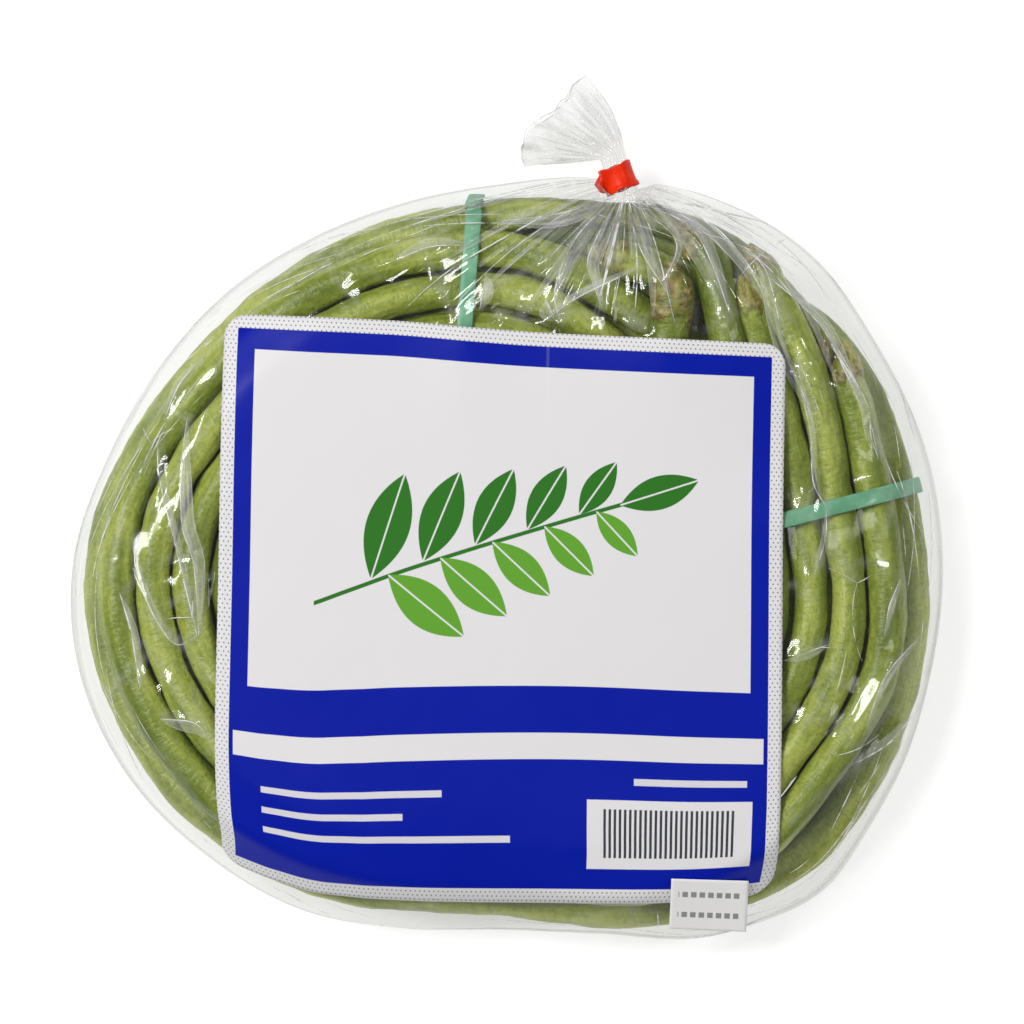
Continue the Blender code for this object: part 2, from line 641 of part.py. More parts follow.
def main():
    """Clears the scene and builds the pack."""
    for thing in list(bpy.data.objects):
        bpy.data.objects.remove(thing, do_unlink=True)
    collection = bpy.data.collections.new("yardlong_bean_bunch")
    bpy.context.scene.collection.children.link(collection)
    pack = bpy.data.objects.new("pack_centre", None)
    collection.objects.link(pack)

    pod = make_material("bean_skin", (0.30, 0.42, 0.11), 0.45)
    rubber = make_material("band_rubber", (0.21, 0.53, 0.35), 0.5)
    film = make_material("clear_film", (0.90, 0.93, 0.93), 0.12, alpha=0.25)
    red_tape = make_material("red_tape", (0.75, 0.05, 0.03), 0.3)
    print_paper = make_material("label_paper", (0.72, 0.74, 0.80), 0.4)
    plain_paper = make_material("sticker_paper", (0.86, 0.86, 0.86), 0.6)

    coil = Coil(BEANS)
    coil.settle()
    for index, bean in enumerate(BEANS):
        mine = coil.owner == index
        build_bean(bean, coil.points[mine], coil.radii[mine], pod, pack)
    for name, ends in BANDS.items():
        build_band(name, ends, coil, rubber, pack)
    build_bag(film, pack)
    build_tape(red_tape, pack)
    build_sheet("label", LABEL_CORNERS, LABEL_GAP, LABEL_THICKNESS, LABEL_CELLS, print_paper, pack)
    build_sheet(
        "date_sticker", STICKER_CORNERS, STICKER_GAP, STICKER_THICKNESS, STICKER_CELLS, plain_paper, pack
    )
    stand_on_origin(pack)


if __name__ == "__main__":
    main()
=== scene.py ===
"""Looks of a bagged coil of yardlong beans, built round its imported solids.

Metres, +Z up, +Y towards the bag's tied neck. The pods, bands, bag, tape, label and sticker each replace
the plain solid of the same piece, and stay where that solid is, but for the tape, which sits 2 mm lower.
"""

from __future__ import annotations

import logging
import math
from dataclasses import dataclass, field
from enum import Enum
from typing import Sequence

import bmesh
import bpy
import numpy as np
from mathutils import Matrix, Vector
from mathutils.bvhtree import BVHTree


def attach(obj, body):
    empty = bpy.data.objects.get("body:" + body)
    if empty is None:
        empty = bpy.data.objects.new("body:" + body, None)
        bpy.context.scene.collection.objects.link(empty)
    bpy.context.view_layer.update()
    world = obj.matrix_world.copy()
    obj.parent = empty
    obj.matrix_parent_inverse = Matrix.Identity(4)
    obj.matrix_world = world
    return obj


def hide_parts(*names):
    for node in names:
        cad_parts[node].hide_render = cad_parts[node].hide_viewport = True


MM = 0.001
WHITE = (1.0, 1.0, 1.0, 1.0)
LOG = logging.getLogger("bean_pack")


class Slot(Enum):
    """The record's material slots."""

    POD = "bean_skin"
    RUBBER = "band_rubber"
    FILM = "clear_film"
    TAPE = "red_tape"
    LABEL = "label_paper"
    STICKER = "sticker_paper"


def srgb(red: float, green: float, blue: float) -> tuple[float, float, float, float]:
    """Turns a display colour into a linear one.

    Args:
        red: Red, 0 to 255.
        green: Green, 0 to 255.
        blue: Blue, 0 to 255.

    Returns:
        The linear colour with alpha 1.
    """
    linear = [((c / 255 + 0.055) / 1.055) ** 2.4 if c > 10 else c / 255 / 12.92 for c in (red, green, blue)]
    return (*linear, 1.0)


class Value:
    """A node's output that can be reckoned with: each operation adds a Math node."""

    def __init__(self, wiring: Wiring, socket: bpy.types.NodeSocket) -> None:
        """Wraps a socket, with the wiring of its tree."""
        self.wiring, self.socket = wiring, socket

    def __add__(self, other: object) -> Value:
        """Adds a number or a value."""
        return self.wiring.math("ADD", self, other)

    def __sub__(self, other: object) -> Value:
        """Takes away a number or a value."""
        return self.wiring.math("SUBTRACT", self, other)

    def __rsub__(self, other: float) -> Value:
        """Takes the value away from a number."""
        return self.wiring.math("SUBTRACT", other, self)

    def __mul__(self, other: object) -> Value:
        """Multiplies by a number or a value."""
        return self.wiring.math("MULTIPLY", self, other)

    def __truediv__(self, other: object) -> Value:
        """Divides by a number or a value."""
        return self.wiring.math("DIVIDE", self, other)

    def __abs__(self) -> Value:
        """Drops the sign."""
        return self.wiring.math("ABSOLUTE", self)

    def least(self, other: object) -> Value:
        """Gives the smaller of the value and another."""
        return self.wiring.math("MINIMUM", self, other)

    def ramp(self, low: float, high: float) -> Value:
        """Rises smoothly from 0 to 1 as the value goes from low to high."""
        inputs = {"Value": self, "From Min": low, "From Max": high}
        return self.wiring.value("ShaderNodeMapRange", inputs, "Result", interpolation_type="SMOOTHSTEP")


class Wiring:
    """Adds nodes to a node tree and links them."""

    def __init__(self, tree: bpy.types.NodeTree) -> None:
        """Starts on the tree that gets the nodes."""
        self.tree = tree

    def fill(self, node: bpy.types.Node, inputs: dict) -> None:
        """Links or sets a node's inputs.

        Args:
            node: The node.
            inputs: Numbers, colours, values or sockets by input name or number.
        """
        for key, value in inputs.items():
            value = value.socket if isinstance(value, Value) else value
            if isinstance(value, bpy.types.NodeSocket):
                self.tree.links.new(value, node.inputs[key])
            else:
                node.inputs[key].default_value = value

    def add(self, kind: str, inputs: dict | None = None, **settings: object) -> bpy.types.Node:
        """Adds one node.

        Args:
            kind: The node's type name.
            inputs: What its inputs get, by name or number.
            **settings: The node's own properties.

        Returns:
            The new node.
        """
        node = self.tree.nodes.new(kind)
        for name, value in settings.items():
            setattr(node, name, value)
        self.fill(node, inputs or {})
        return node

    def value(self, kind: str, inputs: dict | None = None, output: object = 0, **settings: object) -> Value:
        """Adds one node and gives one of its outputs.

        Args:
            kind: The node's type name.
            inputs: What its inputs get, by name or number.
            output: The output's name or number.
            **settings: The node's own properties.

        Returns:
            The output.
        """
        return Value(self, self.add(kind, inputs, **settings).outputs[output])

    def math(self, operation: str, *values: object) -> Value:
        """Adds a Math node for an operation on numbers or values."""
        return self.value("ShaderNodeMath", dict(enumerate(values)), operation=operation)

    def parts(self, vector: object) -> list[Value]:
        """Splits a vector into its X, Y and Z."""
        return [Value(self, part) for part in self.add("ShaderNodeSeparateXYZ", {0: vector}).outputs]

    def attribute(self, name: str, output: str = "Fac") -> Value:
        """Reads an attribute of the mesh in a material."""
        return self.value("ShaderNodeAttribute", None, output, attribute_name=name)

    def place(self) -> Value:
        """Reads object coordinates in a material."""
        return self.value("ShaderNodeTexCoord", None, "Object")

    def mix(self, share: object, first: object, second: object) -> Value:
        """Mixes two colours.

        Args:
            share: How much of the second colour shows.
            first: The first colour.
            second: The second colour.

        Returns:
            The mixed colour.
        """
        return self.value("ShaderNodeMix", {0: share, 6: first, 7: second}, 2, data_type="RGBA")

    def noise(
        self, place: object, scale: float | tuple, detail: float = 3.0, seed: float = 0.0, kind: str = "FBM"
    ) -> Value:
        """Adds a noise texture.

        Args:
            place: The vector that it reads.
            scale: Its scale, one number or one for each axis.
            detail: Its detail.
            seed: A shift that gives it a pattern of its own.
            kind: The noise's type.

        Returns:
            The noise, about 0.5 on average.
        """
        factors = scale if isinstance(scale, tuple) else (scale,) * 3
        inputs = {0: place, 1: factors, 2: (seed,) * 3}
        shifted = self.value("ShaderNodeVectorMath", inputs, operation="MULTIPLY_ADD")
        inputs = {"Vector": shifted, "Scale": 1.0, "Detail": detail}
        return self.value("ShaderNodeTexNoise", inputs, noise_type=kind)

    def bump(self, height: Value, distance: float, strength: float) -> Value:
        """Adds a bump.

        Args:
            height: The height.
            distance: Height of a whole step, in metres.
            strength: How strongly it shows.

        Returns:
            The normal.
        """
        return self.value("ShaderNodeBump", {"Strength": strength, "Distance": distance, "Height": height})

    def see_through(self, shader: bpy.types.Node, cover: Value, tint: tuple = WHITE) -> None:
        """Lets light straight through a material.

        Args:
            shader: Its Principled shader.
            cover: How much of that shader shows.
            tint: Colour of the light that passes.
        """
        clear = self.value("ShaderNodeBsdfTransparent", {"Color": tint})
        both = self.value("ShaderNodeMixShader", {0: cover, 1: clear, 2: shader.outputs[0]})
        self.fill(self.tree.nodes["Material Output"], {"Surface": both})

    def named(self, name: str, kind: str = "FLOAT") -> Value:
        """Reads an attribute in a geometry tree."""
        return self.value("GeometryNodeInputNamedAttribute", {"Name": name}, data_type=kind)

    def keep(self, shape: Value, name: str, vector: Value) -> Value:
        """Stores a vector on each point of a shape, in a geometry tree.

        Args:
            shape: The shape.
            name: The attribute's name.
            vector: What it holds.

        Returns:
            The shape with the attribute.
        """
        inputs = {"Geometry": shape, "Name": name, "Value": vector}
        return self.value("GeometryNodeStoreNamedAttribute", inputs, data_type="FLOAT_VECTOR", domain="POINT")

    def sweep(self, line: Value, ring: Value) -> Value:
        """Sweeps a ring along a curve, as wide as the curve's "girth" says.

        Args:
            line: The curve.
            ring: The ring, of radius 1.

        Returns:
            The closed body.
        """
        girth = self.named("girth")
        line = self.value("GeometryNodeSetCurveRadius", {"Curve": line, "Radius": girth})
        body = self.add("GeometryNodeCurveToMesh", {"Curve": line, "Profile Curve": ring, "Fill Caps": True})
        if "Scale" in body.inputs:
            self.fill(body, {"Scale": girth})
        return Value(self, body.outputs[0])

    def close(self, body: Value, skin: bpy.types.NodeSocket, end: bpy.types.Node) -> bpy.types.NodeTree:
        """Ends a geometry tree.

        Args:
            body: The finished shape.
            skin: The tree's material input.
            end: The tree's output node.

        Returns:
            The tree.
        """
        body = self.value("GeometryNodeSetShadeSmooth", {"Geometry": body})
        body = self.value("GeometryNodeRealizeInstances", {"Geometry": body})
        body = self.value("GeometryNodeSetMaterial", {"Geometry": body, "Material": skin})
        self.fill(end, {0: body})
        return self.tree


def new_material(name: str) -> tuple[bpy.types.Material, Wiring, bpy.types.Node]:
    """Makes a material with one Principled shader.

    Args:
        name: The material's name.

    Returns:
        The material, its wiring and the Principled node.
    """
    material = bpy.data.materials.new(name)
    material.use_nodes = True
    wiring = Wiring(material.node_tree)
    return material, wiring, material.node_tree.nodes["Principled BSDF"]


def smooth(values: np.ndarray, low: float, high: float) -> np.ndarray:
    """Rises smoothly from 0 to 1 as values go from low to high.

    Args:
        values: The numbers.
        low: Where the result is 0.
        high: Where the result is 1.

    Returns:
        The results.
    """
    share = np.clip((values - low) / (high - low), 0, 1)
    return share * share * (3 - 2 * share)


def mesh_object(
    name: str, points: np.ndarray, faces: Sequence[Sequence[int]], steps: Sequence[tuple[int, int]] = ()
) -> bpy.types.Object:
    """Makes a smooth mesh object at the origin.

    Args:
        name: Its name.
        points: Its vertices.
        faces: Its faces.
        steps: Its loose edges.

    Returns:
        The object, linked to the scene.
    """
    mesh = bpy.data.meshes.new(name)
    mesh.from_pydata(np.asarray(points).tolist(), steps, [tuple(map(int, face)) for face in faces])
    mesh.shade_smooth()
    piece = bpy.data.objects.new(name, mesh)
    bpy.context.scene.collection.objects.link(piece)
    return piece


def store(piece: bpy.types.Object, name: str, values: np.ndarray) -> None:
    """Stores a number, or a row of three, for each vertex.

    Args:
        piece: The mesh object.
        name: The attribute's name.
        values: Its numbers.
    """
    values = np.asarray(values, np.float32)
    kind, key = ("FLOAT", "value") if values.ndim == 1 else ("FLOAT_VECTOR", "vector")
    piece.data.attributes.new(name, kind, "POINT").data.foreach_set(key, values.reshape(-1))


def store_uv(piece: bpy.types.Object, places: np.ndarray) -> None:
    """Gives a mesh a UV map from one place for each vertex.

    Args:
        piece: The mesh object.
        places: Two numbers for each vertex.
    """
    layer = piece.data.uv_layers.new(name="print")
    corners = np.empty(len(piece.data.loops), np.int32)
    piece.data.loops.foreach_get("vertex_index", corners)
    layer.data.foreach_set("uv", np.asarray(places, np.float32)[corners].reshape(-1))


def settle_piece(
    piece: bpy.types.Object, node: str, skin: bpy.types.Material | None = None
) -> None:
    """Makes a finished piece stand for a solid and ride with the pack.

    Args:
        piece: The finished piece.
        node: The solid that it replaces.
        skin: Its material, where no tree has set one.
    """
    if skin:
        piece.data.materials.append(skin)
    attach(piece, "root")
    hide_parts(node)
    LOG.info("%s: %d faces", piece.name, len(piece.data.polygons))


def plain_mesh(piece: bpy.types.Object) -> None:
    """Turns what an object's modifiers make into its own mesh.

    Args:
        piece: The object.
    """
    graph = bpy.context.evaluated_depsgraph_get()
    graph.update()
    mesh = bpy.data.meshes.new_from_object(piece.evaluated_get(graph))
    piece.modifiers.clear()
    piece.data = mesh


def run_tree(piece: bpy.types.Object, tree: bpy.types.NodeTree, values: dict[str, object]) -> None:
    """Runs a geometry tree on an object and keeps its result as a plain mesh.

    Args:
        piece: The object.
        tree: The geometry tree.
        values: The tree's inputs by name.
    """
    modifier = piece.modifiers.new(tree.name, "NODES")
    modifier.node_group = tree
    for item in tree.interface.items_tree:
        if item.in_out == "INPUT" and item.name in values:
            modifier[item.identifier] = values[item.name]
    plain_mesh(piece)


def new_tree(name: str, inputs: Sequence[tuple[str, str]]) -> tuple[Wiring, bpy.types.Node, bpy.types.Node]:
    """Starts a geometry tree.

    Args:
        name: The tree's name.
        inputs: Name and socket type of each input after the geometry.

    Returns:
        The tree's wiring, its input node and its output node.
    """
    tree = bpy.data.node_groups.new(name, "GeometryNodeTree")
    tree.interface.new_socket("Geometry", in_out="INPUT", socket_type="NodeSocketGeometry")
    for label, kind in inputs:
        tree.interface.new_socket(label, in_out="INPUT", socket_type=kind)
    tree.interface.new_socket("Geometry", in_out="OUTPUT", socket_type="NodeSocketGeometry")
    wiring = Wiring(tree)
    return wiring, wiring.add("NodeGroupInput"), wiring.add("NodeGroupOutput")


def welded(node: str) -> tuple[np.ndarray, np.ndarray]:
    """Reads a solid's mesh with its doubled vertices joined.

    Args:
        node: The solid's name.

    Returns:
        Its points, and its triangles as point numbers.
    """
    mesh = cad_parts[node].data
    points = np.empty(len(mesh.vertices) * 3, np.float32)
    mesh.vertices.foreach_get("co", points)
    corners = np.empty(len(mesh.loops), np.int32)
    mesh.loops.foreach_get("vertex_index", corners)
    points, index = np.unique(np.round(points.reshape(-1, 3), 6), axis=0, return_inverse=True)
    return points.astype(float), index.reshape(-1)[corners].reshape(-1, 3)


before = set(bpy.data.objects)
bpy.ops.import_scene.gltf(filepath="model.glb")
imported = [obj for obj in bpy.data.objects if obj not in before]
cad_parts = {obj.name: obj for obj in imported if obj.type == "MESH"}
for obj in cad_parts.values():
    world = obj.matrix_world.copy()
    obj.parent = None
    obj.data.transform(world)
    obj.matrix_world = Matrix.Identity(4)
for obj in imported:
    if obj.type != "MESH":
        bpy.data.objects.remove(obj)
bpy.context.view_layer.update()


@dataclass(frozen=True)
class PodFinish:
    """Skin of a yardlong bean: yellow-green to olive, streaked lengthwise, waxy, brown at the stem."""

    light: tuple = srgb(177, 187, 86)
    middle: tuple = srgb(125, 141, 43)
    deep: tuple = srgb(70, 90, 17)
    suture: tuple = srgb(84, 102, 30)
    scar: tuple = srgb(130, 118, 54)
    brown: tuple = srgb(152, 134, 74)
    dark_brown: tuple = srgb(98, 80, 34)
    straw: tuple = srgb(198, 184, 122)
    roughness: float = 0.40
    pod_shift: float = 90.0
    bump_height: float = 0.75 * MM

    def make(self) -> bpy.types.Material:
        """Builds the material.

        Returns:
            The material, which reads the pod's own attributes.
        """
        material, w, shader = new_material("bean_skin")
        skin, tint, brown = w.attribute("skin", "Vector"), w.attribute("tint"), w.attribute("brown")
        _, side, along = w.parts(skin)
        shift = w.value("ShaderNodeCombineXYZ", {2: tint * self.pod_shift})
        place = w.value("ShaderNodeVectorMath", {0: skin, 1: shift}, operation="ADD")
        streak, cloud, mottle, fleck, wrinkle, ragged, patch, lines = (
            w.noise(place, scale, detail, seed) for scale, detail, seed in (
                ((6.0, 6.0, 0.30), 3.0, 0.0), ((0.9, 0.9, 0.35), 3.0, 3.0), ((4.5, 4.5, 4.0), 2.0, 5.0),
                ((8.0, 8.0, 2.6), 2.0, 7.0), ((2.1, 2.1, 8.5), 2.0, 11.0), ((1.5, 1.5, 1.0), 2.0, 9.0),
                ((2.2, 2.2, 2.6), 2.0, 15.0), ((2.0, 2.0, 6.5), 3.0, 12.0)))

        # Broad clouds set the green, and each pod's own tint makes it lighter or darker as a whole.
        tone = streak * 0.06 + cloud * 0.84 + mottle * 0.26 + (tint - 0.5) * 0.28
        colour = w.mix(tone.ramp(0.28, 0.62), self.deep, self.middle)
        colour = w.mix(tone.ramp(0.54, 0.84), colour, self.light)
        seam = 1.0 - abs(side).ramp(0.03, 0.13)
        colour = w.mix(seam * 0.45, colour, self.suture)
        # Painted shade: the skin is mixed towards deep green down in its wrinkles, where the bump sinks it.
        colour = w.mix(wrinkle.ramp(0.50, 0.66) * 0.22, colour, self.deep)
        colour = w.mix(fleck.ramp(0.70, 0.78) * 0.35, colour, self.scar)

        # The stalk end is bark: brown and straw in patches, as far as a ragged edge.
        stalk = (brown * (ragged + 0.8) - along).ramp(-0.10, 0.10)
        bark = w.mix(lines.ramp(0.35, 0.55), self.dark_brown, self.brown)
        bark = w.mix(lines.ramp(0.52, 0.70), bark, self.straw)
        colour = w.mix(stalk * (patch.ramp(0.42, 0.58) * 0.60 + 0.36), colour, bark)
        height = streak * 0.12 - wrinkle * 0.80 + mottle * 0.40 - seam * 0.35 + stalk * (lines + 0.6)
        w.fill(shader, {"Base Color": colour, "Normal": w.bump(height, self.bump_height, 0.8),
                        "Roughness": self.roughness, "Specular IOR Level": 0.4, "Coat Weight": 0.1,
                        "Coat Roughness": 0.3})
        return material


@dataclass(frozen=True)
class RubberFinish:
    """Pale teal-green rubber with a faint bloom."""

    colour: tuple = srgb(96, 162, 124)
    pale: tuple = srgb(126, 184, 148)
    roughness: float = 0.45

    def make(self) -> bpy.types.Material:
        """Builds the material.

        Returns:
            The material, on object coordinates.
        """
        material, w, shader = new_material("band_rubber")
        cloud, grain = w.noise(w.place(), 160.0), w.noise(w.place(), 1400.0, 2.0, 5.0)
        w.fill(shader, {"Base Color": w.mix(cloud.ramp(0.4, 0.7), self.colour, self.pale),
                        "Normal": w.bump(grain, 0.08 * MM, 0.5), "Roughness": self.roughness})
        return material


@dataclass(frozen=True)
class FilmFinish:
    """Clear, thin, glossy film, whitened along its creases with a painted highlight."""

    clear: tuple = (0.955, 0.955, 0.950, 1.0)
    haze: tuple = (0.78, 0.79, 0.77, 1.0)
    gloss: float = 0.10
    most: float = 0.96
    bump_height: float = 1.8 * MM

    def make(self) -> bpy.types.Material:
        """Builds the material.

        Returns:
            The material, which reads the film's own attributes.
        """
        material, w, shader = new_material("clear_film")
        crease, cloudy, pleat = w.attribute("crease"), w.attribute("cloudy"), w.attribute("pleat", "Vector")
        near = w.parts(pleat)[1]
        plain, tail = near.ramp(1.98, 1.62), near.ramp(-0.01, -0.08)
        streak = w.noise(pleat, (13.0, 1.6, 1.0), 2.0, 2.0)
        lines = w.noise(pleat, (22.0, 2.6, 1.0), 2.0, kind="RIDGED_MULTIFRACTAL")
        facet = w.noise(pleat, (5.0, 7.0, 3.0), 1.0, 5.0)
        soft = w.noise(w.place(), 42.0, 1.0, 4.0)

        haze = streak.ramp(0.47, 0.68) * (cloudy * 0.50) * plain + cloudy * 0.05
        facets = (facet.ramp(0.47, 0.485) + facet.ramp(0.56, 0.575)) * 0.12 + 0.08
        # Painted highlight: the crease attribute whitens the film along its folds in place of their glints.
        haze = haze * (1.0 - tail * 0.90) + tail * facets + 0.001 + crease * 0.30
        # Film shows where it is hazy or mirrors: the more it mirrors, the more metallic that share is.
        facing = w.value("ShaderNodeLayerWeight", {"Blend": 0.5}, "Facing")
        mirror = w.math("POWER", facing, 4.0) * 0.42 + 0.042
        cover = (haze + mirror).least(self.most)
        height = lines * (0.28 - tail * 0.24) * plain + soft * 0.45
        w.fill(shader, {"Base Color": self.haze, "Metallic": mirror / cover, "Roughness": self.gloss,
                        "Normal": w.bump(height, self.bump_height, 0.9)})
        w.see_through(shader, cover, self.clear)
        return material


@dataclass(frozen=True)
class CreaseGlintFinish:
    """Film along a sharp fold: its doubled edge, painted pale as a glint."""

    colour: tuple = (0.86, 0.87, 0.86, 1.0)
    roughness: float = 0.16
    cover: float = 0.78

    def make(self) -> bpy.types.Material:
        """Builds the material.

        Returns:
            The material, on object coordinates.
        """
        material, w, shader = new_material("film_crease")
        broken = w.noise(w.place(), 210.0).ramp(0.36, 0.60)
        w.fill(shader, {"Base Color": self.colour, "Roughness": self.roughness})
        # Painted highlight: the thread's pale, broken cover stands in for the fold's glint.
        w.see_through(shader, broken * self.cover + 0.08)
        return material


@dataclass(frozen=True)
class PleatFinish:
    """Doubled film: a pale veil, streaked lengthwise, with a painted highlight along its folded edges."""

    colour: tuple = (0.92, 0.93, 0.92, 1.0)
    roughness: float = 0.14
    most: float = 0.9

    def make(self) -> bpy.types.Material:
        """Builds the material.

        Returns:
            The material, which reads the pleat's own attribute.
        """
        material, w, shader = new_material("film_pleat")
        fold = w.attribute("fold", "Vector")
        across, _, strength = w.parts(fold)
        streak = w.noise(fold, (3.0, 0.4, 9.0), 2.0).ramp(0.36, 0.70)
        # Painted highlight: the veil is whiter near both of its folded edges.
        veil = streak * 0.8 + 0.35 + abs(across - 0.5).ramp(0.40, 0.50) * 0.9
        w.fill(shader, {"Base Color": self.colour, "Roughness": self.roughness,
                        "Normal": w.bump(streak, 0.5 * MM, 0.6)})
        w.see_through(shader, (veil * strength).least(self.most))
        return material


@dataclass(frozen=True)
class TapeFinish:
    """Glossy red-orange tape with fine cross ribs where it is stretched."""

    colour: tuple = srgb(240, 50, 4)
    deep: tuple = srgb(222, 34, 0)
    roughness: float = 0.34

    def make(self) -> bpy.types.Material:
        """Builds the material.

        Returns:
            The material, on object coordinates.
        """
        material, w, shader = new_material("red_tape")
        cloud, ribs = w.noise(w.place(), 260.0), w.noise(w.place(), (900.0, 225.0, 900.0), 2.0, 5.0)
        w.fill(shader, {"Base Color": w.mix(cloud.ramp(0.35, 0.65), self.deep, self.colour),
                        "Normal": w.bump(ribs, 0.15 * MM, 0.5), "Roughness": self.roughness,
                        "Specular IOR Level": 0.16})
        return material


@dataclass(frozen=True)
class Leaf:
    """One printed leaf: where its foot is on the label, which way it points and how long and wide it is."""

    x: float
    y: float
    turn: float
    length: float
    width: float


@dataclass(frozen=True)
class LabelPrint:
    """Printed face of the label, measured in shares of its side from its lower left corner.

    Each box is its left, bottom, right and top.
    """

    paper: tuple = srgb(220, 218, 219)
    blue: tuple = srgb(0, 26, 160)
    deep_blue: tuple = srgb(0, 20, 148)
    dot: tuple = srgb(84, 86, 94)
    leaf_light: tuple = srgb(96, 158, 50)
    leaf_dark: tuple = srgb(46, 112, 34)
    grey: tuple = srgb(60, 62, 70)
    rim: float = 0.0245
    blur: float = 0.0007
    dots_across: float = 118.0
    picture: tuple = (0.0560, 0.375, 0.944, 0.939)
    strip: tuple = (0.032, 0.247, 0.968, 0.293)
    stem_box: tuple = (0.17, 0.40, 0.73, 0.92)
    code_box: tuple = (0.657, 0.059, 0.950, 0.178)
    code: tuple = (0.686, 0.078, 0.921, 0.162)
    code_bars: float = 110.0
    bars: tuple = ((0.08, 0.183, 0.40), (0.08, 0.143, 0.33), (0.08, 0.103, 0.52), (0.74, 0.204, 0.94))
    bar_height: float = 0.012
    roughness: float = 0.38

    def inside(self, x: Value, y: Value, box: tuple[float, float, float, float]) -> Value:
        """Makes a mask of a box.

        Args:
            x: Place across the label.
            y: Place up the label.
            box: Left, bottom, right and top.

        Returns:
            A value that is 1 inside the box.
        """
        left, bottom, right, top = box
        across, up = (x - left).least(right - x), (y - bottom).least(top - y)
        return across.least(up).ramp(-self.blur, self.blur)

    def leaf_mask(self, x: Value, y: Value, leaf: Leaf) -> tuple[Value, Value]:
        """Makes a mask of one leaf, the overlap of two discs.

        Args:
            x: Place across the label.
            y: Place up the label.
            leaf: The leaf.

        Returns:
            The leaf's mask, and the distance to its midrib.
        """
        c, s = math.cos(leaf.turn), math.sin(leaf.turn)
        dx, dy = x - leaf.x, y - leaf.y
        share = (dx * c + dy * s) / (leaf.length / 2) - 1.0
        side = abs(dy * c - dx * s)
        return (1.0 - share * share - side / (leaf.width / 2)).ramp(0.0, 0.04), side

    def dotted(self, w: Wiring, x: Value, y: Value) -> Value:
        """Makes a pattern of small dots in staggered rows.

        Args:
            w: The material's wiring.
            x: Place across the label.
            y: Place up the label.

        Returns:
            A value that is 1 on the dots.
        """
        row = y * (self.dots_across * 1.15)
        stagger = w.math("FLOORED_MODULO", w.math("FLOOR", row), 2.0) * 0.5
        down = (w.math("FRACT", row) - 0.5) * 0.87
        over = w.math("FRACT", x * self.dots_across + stagger) - 0.5
        return 1.0 - w.math("SQRT", down * down + over * over).ramp(0.11, 0.20)

    def sprig(self) -> list[Leaf]:
        """Lays out the printed sprig: paired leaves up a straight stem, and one at its end.

        Returns:
            The leaves.
        """
        leaves = []
        for step in range(5):
            x = 0.27 + 0.092 * step
            y = 0.56 + 0.030 * step
            size = 0.19 - 0.018 * step
            leaves.append(Leaf(x, y, math.radians(72 - 4 * step), size, size * 0.42))
            leaves.append(Leaf(x + 0.03, y + 0.008, math.radians(-38 - 2 * step), size * 0.92, size * 0.40))
        leaves.append(Leaf(0.71, 0.70, math.radians(20), 0.15, 0.06))
        return leaves

    def make(self) -> bpy.types.Material:
        """Builds the material.

        Returns:
            The material, on the label's own UV map.
        """
        material, w, shader = new_material("label_paper")
        uv = w.value("ShaderNodeUVMap", uv_map="print")
        x, y, _ = w.parts(uv)
        colour = w.mix(self.dotted(w, x, y) * 0.9, self.paper, self.dot)
        edge = x.least(1.0 - x).least(y.least(1.0 - y))
        blue = w.mix(w.noise(uv, 3.0, 2.0), self.blue, self.deep_blue)
        colour = w.mix(edge.ramp(self.rim - self.blur, self.rim + self.blur), colour, blue)
        for box in (self.picture, self.strip):
            colour = w.mix(self.inside(x, y, box), colour, self.paper)
        # Painted highlight: a faint white line down the bend near the label's top.
        bend_highlight = (1.0 - abs(x - 0.577).ramp(0.001, 0.004)) * y.ramp(0.80, 0.90)
        colour = w.mix(bend_highlight * 0.05, colour, WHITE)

        stem = 1.0 - abs(y - (x * 0.33 + 0.466)).ramp(0.003, 0.0045)
        colour = w.mix(stem * self.inside(x, y, self.stem_box), colour, self.leaf_dark)
        for number, leaf in enumerate(self.sprig()):
            mask, rib = self.leaf_mask(x, y, leaf)
            vein = 1.0 - rib.ramp(0.0008, 0.0022)
            green = w.mix(vein, self.leaf_light if number % 2 else self.leaf_dark, self.paper)
            colour = w.mix(mask, colour, green)
        for left, foot, right in self.bars:
            bar = self.inside(x, y, (left, foot, right, foot + self.bar_height))
            colour = w.mix(bar * 0.9, colour, self.paper)
        colour = w.mix(self.inside(x, y, self.code_box), colour, self.paper)
        stripes = w.math("GREATER_THAN", w.math("FRACT", x * self.code_bars), 0.5)
        colour = w.mix(stripes * self.inside(x, y, self.code), colour, self.grey)

        cockle, grain = w.noise(w.place(), 38.0, 2.0, 3.0), w.noise(w.place(), 1500.0, 2.0, 6.0)
        w.fill(shader, {"Base Color": colour, "Normal": w.bump(cockle + grain * 0.01, 0.9 * MM, 0.5),
                        "Roughness": self.roughness, "Specular IOR Level": 0.12})
        return material


@dataclass(frozen=True)
class StickerPrint:
    """Small white sticker with two rows of plain grey squares."""

    paper: tuple = srgb(250, 249, 247)
    ink: tuple = srgb(70, 72, 78)
    squares: float = 9.0
    roughness: float = 0.55

    def make(self) -> bpy.types.Material:
        """Builds the material.

        Returns:
            The material, on the sticker's own UV map.
        """
        material, w, shader = new_material("sticker_paper")
        x, y, _ = w.parts(w.value("ShaderNodeUVMap", uv_map="print"))
        dash = w.math("GREATER_THAN", w.math("FRACT", x * self.squares), 0.35)
        rows = 1.0 - abs(w.math("PINGPONG", y, 0.5) - 0.30).ramp(0.045, 0.06)
        ink = dash * rows * x.least(1.0 - x).ramp(0.09, 0.11)
        w.fill(shader, {"Base Color": w.mix(ink * 0.75, self.paper, self.ink),
                        "Normal": w.bump(w.noise(w.place(), 900.0), 0.04 * MM, 0.5),
                        "Roughness": self.roughness})
        return material


PIXEL = 0.278 * MM
PHOTO_MIDDLE = (507.5, 504.0)


